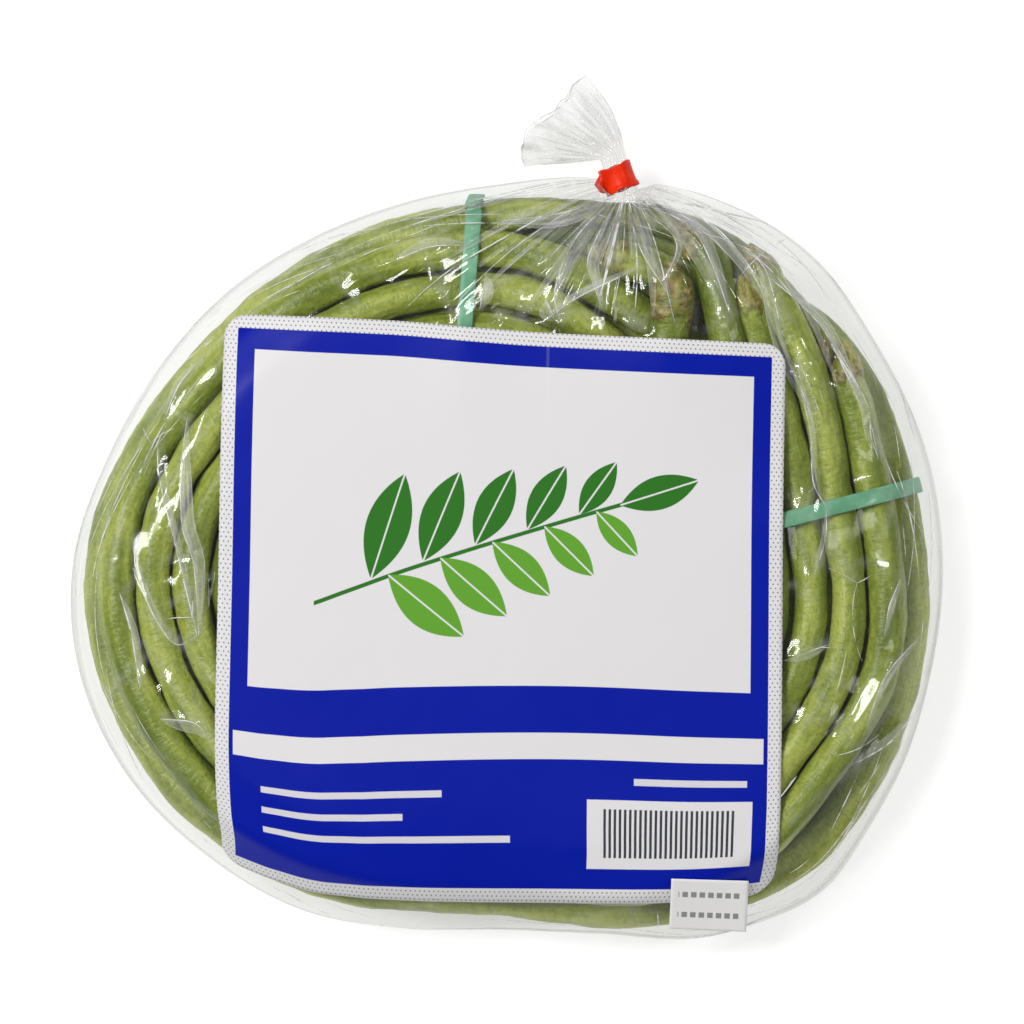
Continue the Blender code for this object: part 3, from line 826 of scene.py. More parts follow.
def seen(*pixels: tuple[float, float]) -> np.ndarray:
    """Turns places read off the photograph into the plan.

    Args:
        *pixels: Across and down, on its 1024 by 1024 frame.

    Returns:
        Plan places in metres.
    """
    across, down = np.array(pixels, float).T
    return np.column_stack([across - PHOTO_MIDDLE[0], PHOTO_MIDDLE[1] - down]) * PIXEL


def spline(a: np.ndarray, b: np.ndarray, c: np.ndarray, d: np.ndarray, t: np.ndarray) -> np.ndarray:
    """Draws a Catmull-Rom curve from b to c, with a before and d after, at shares t of the way."""
    return b + t * (c - a) / 2 + t**2 * (a - 2.5 * b + 2 * c - d / 2) + t**3 * (1.5 * (b - c) + (d - a) / 2)


def through(points: np.ndarray, step: float) -> np.ndarray:
    """Draws a smooth line through points.

    Args:
        points: The points, in order.
        step: Distance between the line's samples.

    Returns:
        The line's samples.
    """
    ends = np.vstack([2 * points[0] - points[1], points, 2 * points[-1] - points[-2]])
    pieces = []
    for a, b, c, d in zip(ends, ends[1:], ends[2:], ends[3:]):
        t = np.linspace(0, 1, max(2, round(np.linalg.norm(c - b) / step) + 1))[:-1, None]
        pieces.append(spline(a, b, c, d, t))
    return np.vstack([*pieces, points[-1:]])


def arch(share: np.ndarray, power: float) -> np.ndarray:
    """Rises from 0 to 1 and falls back as a share goes from 0 to 1, the fuller the lower the power."""
    return np.sin(np.pi * share) ** power


def run_along(line: np.ndarray) -> np.ndarray:
    """Gives the distance along a line to each of its points."""
    return np.concatenate([[0], np.cumsum(np.linalg.norm(np.diff(line, axis=0), axis=1))])


def lattice(rows: int, columns: int, closed: bool, looped: bool = False) -> list[tuple[int, int, int, int]]:
    """Lists the four-sided faces between rows of points.

    Args:
        rows: Number of rows.
        columns: Number of points in a row.
        closed: Whether each row joins up with its own start.
        looped: Whether the last row joins up with the first.

    Returns:
        The faces.
    """
    faces = []
    for row in range(rows if looped else rows - 1):
        near, far = row * columns, (row + 1) % rows * columns
        for column in range(columns if closed else columns - 1):
            after = (column + 1) % columns
            faces.append((near + column, far + column, far + after, near + after))
    return faces


def thin_sheet(rows: int, columns: int, base: int, mirrored: bool = False) -> list[tuple[int, ...]]:
    """Lists the faces of a thin closed sheet, whose upper points come before its lower ones.

    Args:
        rows: Number of rows.
        columns: Number of points in a row.
        base: Number of its first point.
        mirrored: Whether its lower faces split along the same diagonals as its upper ones.

    Returns:
        The faces.
    """
    half, top = rows * columns, lattice(rows, columns, closed=False)
    under = [(face[0], *face[:0:-1]) if mirrored else face[::-1] for face in top]
    rim = [*range(columns), *(k * columns + columns - 1 for k in range(1, rows)),
           *(half - 1 - k for k in range(1, columns)), *(k * columns for k in range(rows - 2, 0, -1))]
    faces = [*top, *(tuple(half + k for k in face) for face in under),
             *((a, b, b + half, a + half) for a, b in zip(rim, rim[1:] + rim[:1]))]
    return [tuple(base + k for k in face) for face in faces]


def on_quad(corners: tuple, u: np.ndarray, v: np.ndarray) -> np.ndarray:
    """Gives plan places on a flat four-cornered sheet.

    Args:
        corners: Its corners in millimetres, anticlockwise from the lower left.
        u: Shares across it.
        v: Shares up it.

    Returns:
        Plan places in metres.
    """
    low_left, low_right, high_right, high_left = MM * np.array(corners)
    u, v = u[..., None], v[..., None]
    return (1 - v) * (low_left * (1 - u) + low_right * u) + v * (high_left * (1 - u) + high_right * u)


def paper_piece(
    name: str, plan: np.ndarray, height: np.ndarray, u: np.ndarray, v: np.ndarray, thickness: float
) -> bpy.types.Object:
    """Makes a paper sheet that hangs from its upper face.

    Args:
        name: The piece's name.
        plan: Plan places of its points.
        height: Their heights.
        u: Shares across it, as a square grid.
        v: Shares up it.
        thickness: How thick the paper is.

    Returns:
        The piece, with a UV map of its shares.
    """
    faces = [face[::-1] for face in lattice(len(u), len(u), closed=False)]
    piece = mesh_object(name, np.column_stack([plan, height]), faces)
    store_uv(piece, np.stack([u, v], -1).reshape(-1, 2))
    sheet = piece.modifiers.new("thickness", "SOLIDIFY")
    sheet.thickness, sheet.offset = thickness, -1.0
    plain_mesh(piece)
    return piece


def face_outwards(piece: bpy.types.Object) -> None:
    """Turns all the faces of a closed piece outwards.

    Args:
        piece: The piece.
    """
    shape = bmesh.new()
    shape.from_mesh(piece.data)
    bmesh.ops.recalc_face_normals(shape, faces=shape.faces)
    shape.to_mesh(piece.data)
    shape.free()


@dataclass
class Ground:
    """Height grids over the plan of the pack, and films drawn tight over what they cover."""

    cell: float = 0.8 * MM
    half: float = 132 * MM
    rounds: tuple = ((4, 500), (2, 350), (1, 260))
    x: np.ndarray = field(init=False)
    y: np.ndarray = field(init=False)
    plan: np.ndarray = field(init=False)

    def __post_init__(self) -> None:
        """Lays out the grid."""
        line = np.arange(-self.half, self.half, self.cell)
        self.x, self.y = np.meshgrid(line, line)
        self.plan = np.stack([self.x, self.y], -1)

    def sample(self, grid: np.ndarray, plan: np.ndarray) -> np.ndarray:
        """Reads a grid between its points.

        Args:
            grid: The values.
            plan: Plan places, any number of rows.

        Returns:
            The grid's values there.
        """
        place = np.clip((plan + self.half) / self.cell, 0, len(grid) - 1.001)
        low = place.astype(int)
        across, up = np.moveaxis(place - low, -1, 0)
        column, row = low[..., 0], low[..., 1]
        near = grid[row, column] * (1 - across) + grid[row, column + 1] * across
        far = grid[row + 1, column] * (1 - across) + grid[row + 1, column + 1] * across
        return near * (1 - up) + far * up

    def cells(self, line: np.ndarray) -> tuple[np.ndarray, np.ndarray]:
        """Finds the grid cells of plan places.

        Args:
            line: The places.

        Returns:
            Their rows and columns.
        """
        place = np.clip(np.round((line[:, :2] + self.half) / self.cell).astype(int), 0, len(self.x) - 1)
        return place[:, 1], place[:, 0]

    def cover(self, lines: Sequence[tuple[np.ndarray, np.ndarray]], upper: bool) -> np.ndarray:
        """Finds the outer height of round bodies.

        Args:
            lines: Middle line and radius of each body.
            upper: Whether their tops are wanted, and not their undersides.

        Returns:
            The height in each cell, far beyond the pack's own where there is none.
        """
        sign = 1.0 if upper else -1.0
        grid = np.full(self.x.shape, -1.0)
        for middle, radius in lines:
            for (x, y, z), r in zip(middle, radius):
                column, row = int((x + self.half) / self.cell), int((y + self.half) / self.cell)
                span = int(r / self.cell) + 1
                near = slice(row - span, row + span + 2), slice(column - span, column + span + 2)
                rest = r * r - (self.x[near] - x) ** 2 - (self.y[near] - y) ** 2
                top = np.where(rest > 0, sign * z + np.sqrt(np.maximum(rest, 0)), -1.0)
                grid[near] = np.maximum(grid[near], top)
        return sign * grid

    def blur(self, grid: np.ndarray, spread: float) -> np.ndarray:
        """Blurs a grid.

        Args:
            grid: The values.
            spread: Standard deviation of the blur, in metres.

        Returns:
            The blurred grid.
        """
        reach = np.arange(-3 * spread, 3 * spread + self.cell, self.cell)
        weight = np.exp(-((reach / spread) ** 2) / 2)
        weight /= weight.sum()
        pad = len(weight) // 2
        for axis in (0, 1):
            wide = np.pad(grid, [(pad, pad) if k == axis else (0, 0) for k in (0, 1)], mode="edge")
            grid = sum(
                w * np.take(wide, np.arange(k, k + grid.shape[axis]), axis) for k, w in enumerate(weight)
            )
        return grid

    def draw_tight(
        self, low: np.ndarray, high: np.ndarray, held: np.ndarray, start: np.ndarray, sag: float
    ) -> np.ndarray:
        """Draws a film tight between two limits.

        Args:
            low: Lowest height that it may have in each cell.
            high: Highest height.
            held: Where it is held at its starting height.
            start: Its starting height.
            sag: How far each round lets it sink.

        Returns:
            The film's height.
        """
        coarse = self.rounds[0][0]
        film = start[::coarse, ::coarse]
        for stride, rounds in self.rounds:
            cut = (slice(None, None, stride), slice(None, None, stride))
            lowest, highest, fixed, given = low[cut], high[cut], held[cut], start[cut]
            if stride < coarse:
                film = film.repeat(2, 0).repeat(2, 1)[: given.shape[0], : given.shape[1]]
                film = np.pad(film, [(0, given.shape[k] - film.shape[k]) for k in (0, 1)], mode="edge")
            film = np.where(fixed, given, film)
            for _ in range(rounds):
                mean = film.copy()
                mean[1:-1, 1:-1] = (film[2:, 1:-1] + film[:-2, 1:-1] + film[1:-1, 2:] + film[1:-1, :-2]) / 4
                film = np.where(fixed, given, np.clip(mean - sag * stride * stride, lowest, highest))
        return film


GROUND = Ground()


@dataclass
class PodCoil:
    """Fourteen long pods in a coil, each swept along the line of its solid."""

    count: int = 14
    step: float = 1.9 * MM
    sides: int = 26
    swell: float = 0.66 * MM
    # A line's points are 2 mm apart. Smoothing spreads over 10 mm, 18 points to each side, and comes in
    # over the first and last 14 points, so that the ends stay where the solid has them.
    spacing: float = 2.0
    straighten: float = 10.0
    eased: int = 18
    held: int = 14
    # Girth by distance in millimetres from the stem end, and then from the tip.
    stem_shape: tuple = ((0, 0.30), (0.8, 0.42), (2.4, 0.50), (4.4, 0.66), (6, 0.90), (9, 1.02), (13, 1.0),
                         (20, 0.98), (34, 1.0))
    tip_shape: tuple = ((0, 0.03), (1.2, 0.13), (5, 0.30), (11, 0.50), (20, 0.74), (36, 0.94), (60, 1.0))
    # How far the brown of each stalk reaches, in millimetres.
    browned: tuple = (9, 7, 8, 13, 10, 8, 11, 6, 7, 6, 7, 8, 6, 7)
    lines: list = field(default_factory=list)
    finish: PodFinish = field(default_factory=PodFinish)

    def read_line(self, node: str) -> tuple[np.ndarray, float]:
        """Reads a pod's middle line from the rings of its solid.

        Args:
            node: The solid's name.

        Returns:
            The rings' middles from stem to tip, and the pod's full radius.
        """
        points, faces = welded(node)
        near = [set() for _ in points]
        for a, b, c in faces:
            near[a] |= {b, c}
            near[b] |= {a, c}
            near[c] |= {a, b}
        corners = points[faces]
        cross = np.cross(corners[:, 1] - corners[:, 0], corners[:, 2] - corners[:, 0])
        area = np.linalg.norm(cross, axis=1)
        tip = int(np.argmin(area))
        away = points - corners[tip, 0]
        flat = (np.abs(away @ cross[tip]) / area[tip] < 0.03 * MM) & (np.linalg.norm(away, axis=1) < 4 * MM)
        layer = set(np.flatnonzero(flat).tolist())
        known, middles, radii = set(layer), [], []
        while layer:
            ring = points[list(layer)]
            middles.append(ring.mean(0))
            radii.append(np.linalg.norm(ring - middles[-1], axis=1).mean())
            layer = set().union(*(near[k] for k in layer)) - known
            known |= layer
        return np.array(middles[::-1]), float(np.median(radii))

    def shape_line(self, number: int) -> tuple[np.ndarray, np.ndarray, np.ndarray]:
        """Gives one pod its middle line and girth.

        Args:
            number: The pod's number, from 1.

        Returns:
            Places along it, its radius there, and the distance from its stem end.
        """
        rings, radius = self.read_line(f"bean_{number:02d}")
        line = through(rings, self.spacing * MM)
        pad, count = self.eased, len(line)
        weight = np.exp(-((np.arange(-pad, pad + 1) * self.spacing / self.straighten) ** 2) / 2)
        padded = np.vstack([np.full((pad, 3), line[0]), line, np.full((pad, 3), line[-1])])
        there = np.concatenate([np.zeros(pad), np.ones(count), np.zeros(pad)])
        even = np.convolve(there, weight, "valid")
        eased = np.column_stack([np.convolve(padded[:, k] * there, weight, "valid") / even for k in range(3)])
        steps = np.arange(count) / self.held
        line = line + (eased - line) * (np.clip(steps, 0, 1) * np.clip(steps[::-1], 0, 1))[:, None]
        run = run_along(line)
        draw = np.random.default_rng(100 + number)
        knots = np.arange(0, run[-1] + 30 * MM, 9 * MM)
        girth = 1 + 0.035 * draw.standard_normal(len(knots))
        stem, tip = np.array(self.stem_shape).T, np.array(self.tip_shape).T
        share = np.interp(run, stem[0] * MM, stem[1]) * np.interp(run[-1] - run, tip[0] * MM, tip[1])
        return line, radius * share * np.clip(np.interp(run, knots, girth), 0.92, 1.05), run

    def sweep_tree(self) -> bpy.types.NodeTree:
        """Builds the tree that sweeps a pod along its line.

        Returns:
            The geometry tree.
        """
        inputs = [("Step", "NodeSocketFloat"), ("Sides", "NodeSocketInt"), ("Swell", "NodeSocketFloat"),
                  ("Seed", "NodeSocketFloat"), ("Skin", "NodeSocketMaterial")]
        w, start, end = new_tree("pod_sweep", inputs)
        line, step, sides, swell, seed, skin = start.outputs[:6]
        line = w.value("GeometryNodeMeshToCurve", {"Mesh": line})
        line = w.value("GeometryNodeResampleCurve", {"Curve": line, "Length": step}, mode="LENGTH")
        ring = w.value("GeometryNodeCurvePrimitiveCircle", {"Resolution": sides, "Radius": 1.0})
        body = w.sweep(line, w.keep(ring, "ring", w.value("GeometryNodeInputPosition")))
        x, y, _ = w.parts(w.named("ring", "FLOAT_VECTOR"))
        place = w.value("ShaderNodeCombineXYZ", {0: x, 1: y, 2: w.named("run") * 100.0})
        body = w.keep(body, "skin", place)
        broad, fine = (
            w.value("ShaderNodeTexNoise", {
                "Vector": w.value("ShaderNodeVectorMath", {0: place, 1: factors}, operation="MULTIPLY"),
                "W": seed, "Scale": 1.0, "Detail": 1.0}, noise_dimensions="4D")
            for factors in ((0.6, 0.6, 0.9), (1.5, 1.5, 2.6)))
        lift = (broad - 0.5 + (fine - 0.5) * 0.6) * (Value(w, swell) * 2.0)
        out = w.value("ShaderNodeVectorMath", {0: w.value("GeometryNodeInputNormal"), "Scale": lift},
                      operation="SCALE")
        body = w.value("GeometryNodeSetPosition", {"Geometry": body, "Offset": out})
        return w.close(body, skin, end)

    def build(self) -> None:
        """Builds and dresses the pods."""
        tree, skin = self.sweep_tree(), self.finish.make()
        draw = np.random.default_rng(7)
        for number in range(1, self.count + 1):
            line, radius, run = self.shape_line(number)
            self.lines.append((line, radius))
            steps = [(k, k + 1) for k in range(len(line) - 1)]
            piece = mesh_object(f"pod_{number:02d}", line, [], steps)
            same = np.ones(len(line))
            for name, values in (("girth", radius), ("run", run), ("tint", same * draw.random()),
                                 ("brown", same * self.browned[number - 1] / 10)):
                store(piece, name, values)
            run_tree(piece, tree, {"Step": self.step, "Sides": self.sides, "Swell": self.swell,
                                   "Seed": float(number), "Skin": skin})
            face_outwards(piece)
            settle_piece(piece, f"bean_{number:02d}")


class Band(Enum):
    """The two rubber bands."""

    TOP = "band_top"
    RIGHT = "band_right"


@dataclass
class RubberBand:
    """One flat rubber band, swept along the loop of its solid."""

    place: Band
    wide: float = 4.4 * MM
    thick: float = 1.0 * MM
    finish: RubberFinish = field(default_factory=RubberFinish)
    profile: tuple = ((-0.5, -0.3), (-0.5, 0.3), (-0.44, 0.5), (-0.15, 0.56), (0.15, 0.56), (0.44, 0.5),
                      (0.5, 0.3), (0.5, -0.3), (0.44, -0.5), (-0.44, -0.5))
    line: np.ndarray = field(init=False, default=None)

    def read_loop(self) -> tuple[np.ndarray, np.ndarray]:
        """Reads the band's middle line from its solid.

        Returns:
            Places round the loop, and the direction across the band.
        """
        points, _ = welded(self.place.value)
        middle = points.mean(0)
        across = np.linalg.svd(points - middle, full_matrices=False)[2][2]
        flat = points - middle - ((points - middle) @ across)[:, None] * across
        first = np.cross(across, [0, 0, 1.0])
        first /= np.linalg.norm(first)
        second = np.cross(across, first)
        turn = np.arctan2(flat @ second, flat @ first)
        order = np.argsort(turn)
        groups = np.array_split(order, len(order) // 4)
        return np.array([points[group].mean(0) for group in groups]), across

    def build(self) -> None:
        """Builds and dresses the band."""
        loop, across = self.read_loop()
        closed = np.vstack([loop[-2:], loop, loop[:3]])
        line = through(closed, 1.0 * MM)
        start = int(np.argmin(np.linalg.norm(line - loop[0], axis=1)[: len(line) // 2]))
        after = np.linalg.norm(line[start + 20:] - loop[0], axis=1)
        line = line[start: start + 20 + int(np.argmin(after))]
        self.line = line
        ahead = np.roll(line, -1, 0) - np.roll(line, 1, 0)
        ahead /= np.linalg.norm(ahead, axis=1)[:, None]
        out = np.cross(ahead, across)
        out /= np.linalg.norm(out, axis=1)[:, None]
        if ((line - line.mean(0)) * out).sum() < 0:
            out = -out
        run = np.linspace(0, 2 * math.pi, len(line), endpoint=False)
        lean = 0.10 * np.sin(3 * run + 1) + 0.06 * np.sin(7 * run)
        columns = [
            line + across * (side * self.wide) + out * (level * self.thick + side * self.wide * lean)[:, None]
            for side, level in self.profile
        ]
        points = np.stack(columns, 1).reshape(-1, 3)
        name = self.place.value.replace("band", "rubber_band")
        faces = lattice(len(line), len(columns), closed=True, looped=True)
        piece = mesh_object(name, points, faces)
        face_outwards(piece)
        settle_piece(piece, self.place.value, self.finish.make())


@dataclass
class FilmBag:
    """Clear bag drawn over the coil, gathered at its neck and open at its ruffled tail."""

    centre: np.ndarray = field(default_factory=lambda: MM * np.array([-1.8, -16.0]))
    # The outline's distance from the centre, every 15 degrees clockwise from +Y.
    reach: np.ndarray = field(default_factory=lambda: MM * np.array(
        [105.1, 110.8, 117.1, 121.3, 120.8, 122.2, 123.0, 123.6, 125.7, 125.8, 120.0, 107.2,
         102.4, 105.6, 111.7, 115.8, 119.8, 121.3, 119.1, 113.2, 109.4, 106.9, 104.3, 103.6]))
    equator: float = 17 * MM
    neck_clock: float = 18.2
    neck_out: float = 108 * MM
    neck_half: float = 6 * MM
    neck_rise: float = 5.5 * MM
    clearance: float = 0.45 * MM
    line_step: float = 0.35 * MM
    band_half: float = 1.1 * MM
    across: int = 230
    under: int = 56
    along: int = 190
    tail_rings: int = 52
    wrinkles: int = 150
    soft_pleats: int = 64
    ceiling: float = 0.06
    finish: FilmFinish = field(default_factory=FilmFinish)
    # The open mouth and the large folds, as places on the photograph.
    mouth: tuple = ((525, 166), (522, 160), (521, 147), (526, 139), (528, 131), (544, 121), (554, 114),
                    (557, 106), (561, 100), (566, 98), (573, 84), (586, 75))
    tail_folds: tuple = (0.0, 2.6, -1.2, 3.0, 1.0, -2.6, 4.2, 0.4, 3.6, -1.8, 2.4, 5.0, 0.8, 3.2, 0.0)
    folds: tuple = (
        ((615, 197), (560, 214), (500, 222)), ((612, 200), (575, 240), (555, 290), (560, 326)),
        ((618, 200), (597, 237), (587, 265), (595, 290), (601, 311)), ((628, 205), (640, 250), (664, 290)),
        ((632, 203), (675, 242), (662, 286)), ((634, 200), (687, 226), (710, 263), (728, 313)),
        ((636, 198), (701, 219), (742, 258), (770, 311)), ((742, 250), (765, 272), (783, 341), (811, 419)),
        ((763, 274), (804, 309), (829, 341), (861, 410)), ((639, 193), (714, 210), (793, 235), (850, 300)),
        ((850, 300), (880, 345), (898, 382), (915, 440)), ((540, 326), (575, 300), (640, 268)),
        ((188, 418), (183, 465), (183, 523), (195, 566), (200, 634)),
        ((133, 536), (141, 580), (158, 620), (178, 644), (200, 634)), ((121, 593), (133, 634), (141, 688)),
        ((158, 441), (161, 479), (178, 550), (198, 634)), ((161, 718), (195, 722), (212, 739)),
        ((200, 360), (180, 385), (165, 420)), ((545, 300), (556, 322)), ((486, 275), (480, 310)),
        ((795, 364), (801, 396), (809, 434), (812, 482), (825, 507)), ((825, 510), (824, 539), (813, 574)),
        ((837, 357), (853, 380), (867, 408), (870, 437), (877, 458)), ((899, 579), (888, 606), (883, 635)),
        ((920, 635), (884, 676), (865, 727)), ((849, 766), (888, 743), (913, 715)), ((782, 660), (827, 644)),
        ((300, 250), (340, 235), (380, 228)), ((395, 262), (430, 248), (468, 246)),
    )
    free_of_label: np.ndarray = field(init=False, default=None)
    crease: np.ndarray = field(init=False, default=None)
    upper: np.ndarray = field(init=False, default=None)
    lower: np.ndarray = field(init=False, default=None)
    tail: np.ndarray = field(init=False, default=None)
    tail_across: np.ndarray = field(init=False, default=None)
    piece: bpy.types.Object = field(init=False, default=None)

    def clock_way(self, clock: object) -> np.ndarray:
        """Gives plan directions of clock angles.

        Args:
            clock: Degrees, clockwise from +Y.

        Returns:
            Unit vectors.
        """
        turn = np.radians(clock)
        return np.stack([np.sin(turn), np.cos(turn)], -1)

    def outline(self, plan: np.ndarray) -> np.ndarray:
        """Gives the distance of the bag's outline from its centre, in the directions of plan places.

        Args:
            plan: Places from the coil's centre.

        Returns:
            The outline's distance in each direction.
        """
        hours = len(self.reach)
        clock = np.degrees(np.arctan2(plan[..., 0], plan[..., 1])) % 360
        place = clock / (360 / hours)
        hour = np.floor(place).astype(int)
        out = spline(*(self.reach[(hour + k) % hours] for k in (-1, 0, 1, 2)), place - hour)
        for middle, wide, size in ((136, 7, 2.4), (self.neck_clock, 6, -0.6)):
            off = (clock - middle + 180) % 360 - 180
            out = out + size * MM * np.exp(-((off / wide) ** 2))
        return out

    def reach_to(self, way: np.ndarray) -> float:
        """Gives the outline's distance from the centre in one direction."""
        return self.outline(way[None] * 0.1)[0]

    def length(self) -> float:
        """Gives the bag's length along its middle, from the neck to the far end."""
        neck = self.clock_way(self.neck_clock)
        return float(self.reach_to(neck) + self.reach_to(-neck))

    def on_disc(self, line: object, part: object) -> np.ndarray:
        """Gives places on the unit disc, along lines that run from the neck to the far end.

        Args:
            line: Place across the film, from the right edge, -1, to the left edge, 1.
            part: Share of the way from the neck.

        Returns:
            The places.
        """
        grown = part / (1 - part) * np.exp(1j * (math.pi - 2 * np.arctan(line)))
        place = (1 + grown) / (1 - grown) * complex(*self.clock_way(self.neck_clock))
        return np.stack([place.real, place.imag], -1)

    def pleat_plan(self, line: object, near: np.ndarray) -> np.ndarray:
        """Gives plan places on a line that runs out from the neck.

        Args:
            line: Place across the film, from the right edge, -1, to the left edge, 1.
            near: Distances from the neck, measured along the bag's middle.

        Returns:
            Plan places.
        """
        disc = self.on_disc(line, near / self.length())
        return disc * self.outline(disc)[:, None] + self.centre

    def drape(self, pods: PodCoil, bands: Sequence[RubberBand], label: PrintedLabel) -> None:
        """Draws the upper film over pods and bands, and the lower one under them.

        Args:
            pods: The built coil.
            bands: The built rubber bands.
            label: The label, which holds the film below it in its own smooth shape.
        """
        plan = GROUND.plan - self.centre
        beyond = np.linalg.norm(plan, axis=-1) - self.outline(plan)
        rim = self.equator - np.maximum(beyond, 0)
        neck = self.clock_way(self.neck_clock) * self.neck_out
        at_neck = np.linalg.norm(plan - neck, axis=-1) < self.neck_half
        held = (beyond > 0) | at_neck
        start = np.where(at_neck, self.equator + self.neck_rise, rim)
        covered = [*pods.lines, *((band.line, np.full(len(band.line), self.band_half)) for band in bands)]
        tops = GROUND.cover(covered, upper=True) + self.clearance
        low, high = tops.copy(), np.full(tops.shape, self.ceiling)
        taut = GROUND.draw_tight(tops, high, held, np.where(held, start, 30 * MM), 0)
        label.lie_on(taut)
        self.crease = np.zeros(tops.shape)
        draw = np.random.default_rng(21)
        for fold in self.folds:
            line = through(seen(*fold), self.line_step)
            cells, share = GROUND.cells(line), np.linspace(0, 1, len(line))
            rise = (1.3 + 0.9 * draw.random()) * MM * arch(np.clip(share * 0.94 + 0.05, 0, 1), 0.5)
            np.maximum.at(low, cells, GROUND.sample(taut, line) + rise)
            np.maximum.at(self.crease, cells, 0.6 + 0.4 * draw.random())
        for _ in range(self.wrinkles):
            clock, share = draw.uniform(0, 360), draw.uniform(0.45, 0.97)
            way = self.clock_way(clock)
            spot = way * share * self.reach_to(way) + self.centre
            turn = math.radians(clock) + draw.choice([0.0, math.pi / 2]) + draw.normal(0, 0.5)
            length = draw.uniform(8, 34) * MM
            way = np.array([[math.sin(turn), math.cos(turn)]])
            ends = spot + way * np.array([[-0.5], [0.0], [0.5]]) * length
            ends[1] += draw.normal(0, 0.06, 2) * length
            line = through(ends, self.line_step)
            cells, level = GROUND.cells(line), GROUND.sample(taut, line)
            rise = draw.uniform(0.5, 1.5) * MM * arch(np.linspace(0.04, 0.96, len(line)), 0.6)
            if draw.random() < 0.65:
                np.maximum.at(low, cells, level + rise)
            else:
                np.minimum.at(high, cells, np.maximum(level - rise, tops[cells]))
            np.maximum.at(self.crease, cells, 0.25 + 0.5 * draw.random())
        inside = GROUND.blur(label.holds(GROUND.plan).astype(float), 1.0 * MM) > 0.04
        start = np.where(inside, np.maximum(label.height_grid - 0.35 * MM, tops), np.where(held, start, taut))
        low = np.where(inside, start, low)
        self.crease[inside] = 0
        self.upper = GROUND.draw_tight(low, high, held | inside, start, 0)
        self.crease = GROUND.blur(self.crease, 0.6 * MM)
        bottoms = GROUND.cover(pods.lines, upper=False)
        bottoms = np.where(bottoms > 0.5, self.ceiling, bottoms) - 0.4 * MM
        floor = np.full(tops.shape, 0.05 * MM)
        self.lower = GROUND.draw_tight(floor, np.maximum(bottoms, floor), held,
                                       np.where(held, rim, 1 * MM), 0.02 * MM)

    def body_points(self) -> tuple[np.ndarray, np.ndarray]:
        """Lays the film's rings over the pack and back under it, from the neck to the far end.

        Returns:
            Points and their pleat coordinates, by ring and place in it.
        """
        length = self.length()
        top_line, low_line = self.lines()
        share = np.linspace(0, 1, self.along + 2)[1:-1]
        share = 0.8 * share + 0.2 * (0.5 - 0.5 * np.cos(share * math.pi))
        share = share + (1 - share) * 6.6 * MM / length
        draw = np.random.default_rng(33)
        pleats = [(draw.uniform(-1, 1), draw.uniform(0.006, 0.035), draw.uniform(14, 75) * MM,
                   draw.uniform(0.4, 1.6) * MM * draw.choice([1, 1, -0.6])) for _ in range(self.soft_pleats)]
        rings, prints = [], []
        for part in share:
            near = part * length
            merge = smooth(np.array(near), 2 * MM, 18 * MM)
            ring, mark = [], []
            for line, upper in ((top_line, True), (low_line[1:-1][::-1], False)):
                disc = self.on_disc(line, part)
                out = self.outline(disc)
                plan = disc * out[:, None]
                inwards = out - np.linalg.norm(plan, axis=-1)
                spot = plan + self.centre
                film = GROUND.sample(self.upper if upper else self.lower, spot) - self.equator
                film = film * np.clip(inwards / (1.2 * MM), 0, 1)
                round_neck = np.sqrt(np.maximum(1 - line**2, 0)) * 6.2 * MM * (1 if upper else -1)
                film = round_neck * (1 - merge) + film * merge
                if upper:
                    lift = sum(size * np.exp(-np.abs((line - middle) / wide) ** 1.3)
                               * math.exp(-((near / long) ** 2)) for middle, wide, long, size in pleats)
                    lift = lift * smooth(np.abs(line), 1.0, 0.9) * smooth(np.array(near), 0, 9 * MM)
                    film = film + np.maximum(lift * self.label_share(spot), -0.3 * MM)
                ring.append(np.column_stack([spot, self.equator + film]))
                mark.append(np.column_stack([line, np.full(len(line), near * 10), np.full(len(line), upper)]))
            rings.append(np.vstack(ring))
            prints.append(np.vstack(mark))
        return np.array(rings), np.array(prints)

    def label_share(self, spot: np.ndarray) -> np.ndarray:
        """Says how free of the label the film is.

        Args:
            spot: Plan places.

        Returns:
            0 under the label and 1 away from it.
        """
        return GROUND.sample(self.free_of_label, spot)

    def neck_points(self) -> tuple[np.ndarray, np.ndarray]:
        """Lays the rings of the tail and the neck, from the open mouth down to the body.

        Returns:
            Points and their pleat coordinates, by ring and place in it.
        """
        top_line, low_line = self.lines()
        across = -np.concatenate([top_line, low_line[1:-1][::-1]])
        upper = np.arange(len(across)) < len(top_line)
        dome = np.sqrt(np.maximum(1 - across**2, 0)) * np.where(upper, 1, -1)
        mouth = seen(*self.mouth)
        run = run_along(mouth)
        spread = np.interp(across, (-1, 1), (0, run[-1]))
        ends = np.column_stack([np.interp(spread, run, mouth[:, k]) for k in (0, 1)])
        ends = ends + np.where(upper, 0, 1)[:, None] * np.column_stack(
            [np.sin(5 * across), np.cos(4 * across)]) * 1.4 * MM * (1 - across**2)[:, None]
        knots = np.linspace(-1, 1, len(self.tail_folds))
        fold = np.interp(across, knots, self.tail_folds)
        under = 0.55 * fold - 0.45 + 0.4 * np.interp(across, knots, self.tail_folds[::-1])
        fold = np.where(upper, fold, under) * MM
        gathers = 0.32 * np.cos(19 * np.arccos(np.clip(across, -1, 1)) + np.where(upper, 0, 1)) * MM
        rings, prints = [], []
        top_mid, top_way = MM * np.array([29.1, 97.2]), np.array([0.93, 0.37])
        for share in np.linspace(1, 0.02, self.tail_rings):
            foot = top_mid + (across * 3.8 * MM)[:, None] * top_way
            plan = foot + (ends - foot) * share
            bulge = np.maximum(across, 0) * 1.8 * MM * math.sin(math.pi * share)
            plan = plan + bulge[:, None] * np.array([0.9, 0.35])
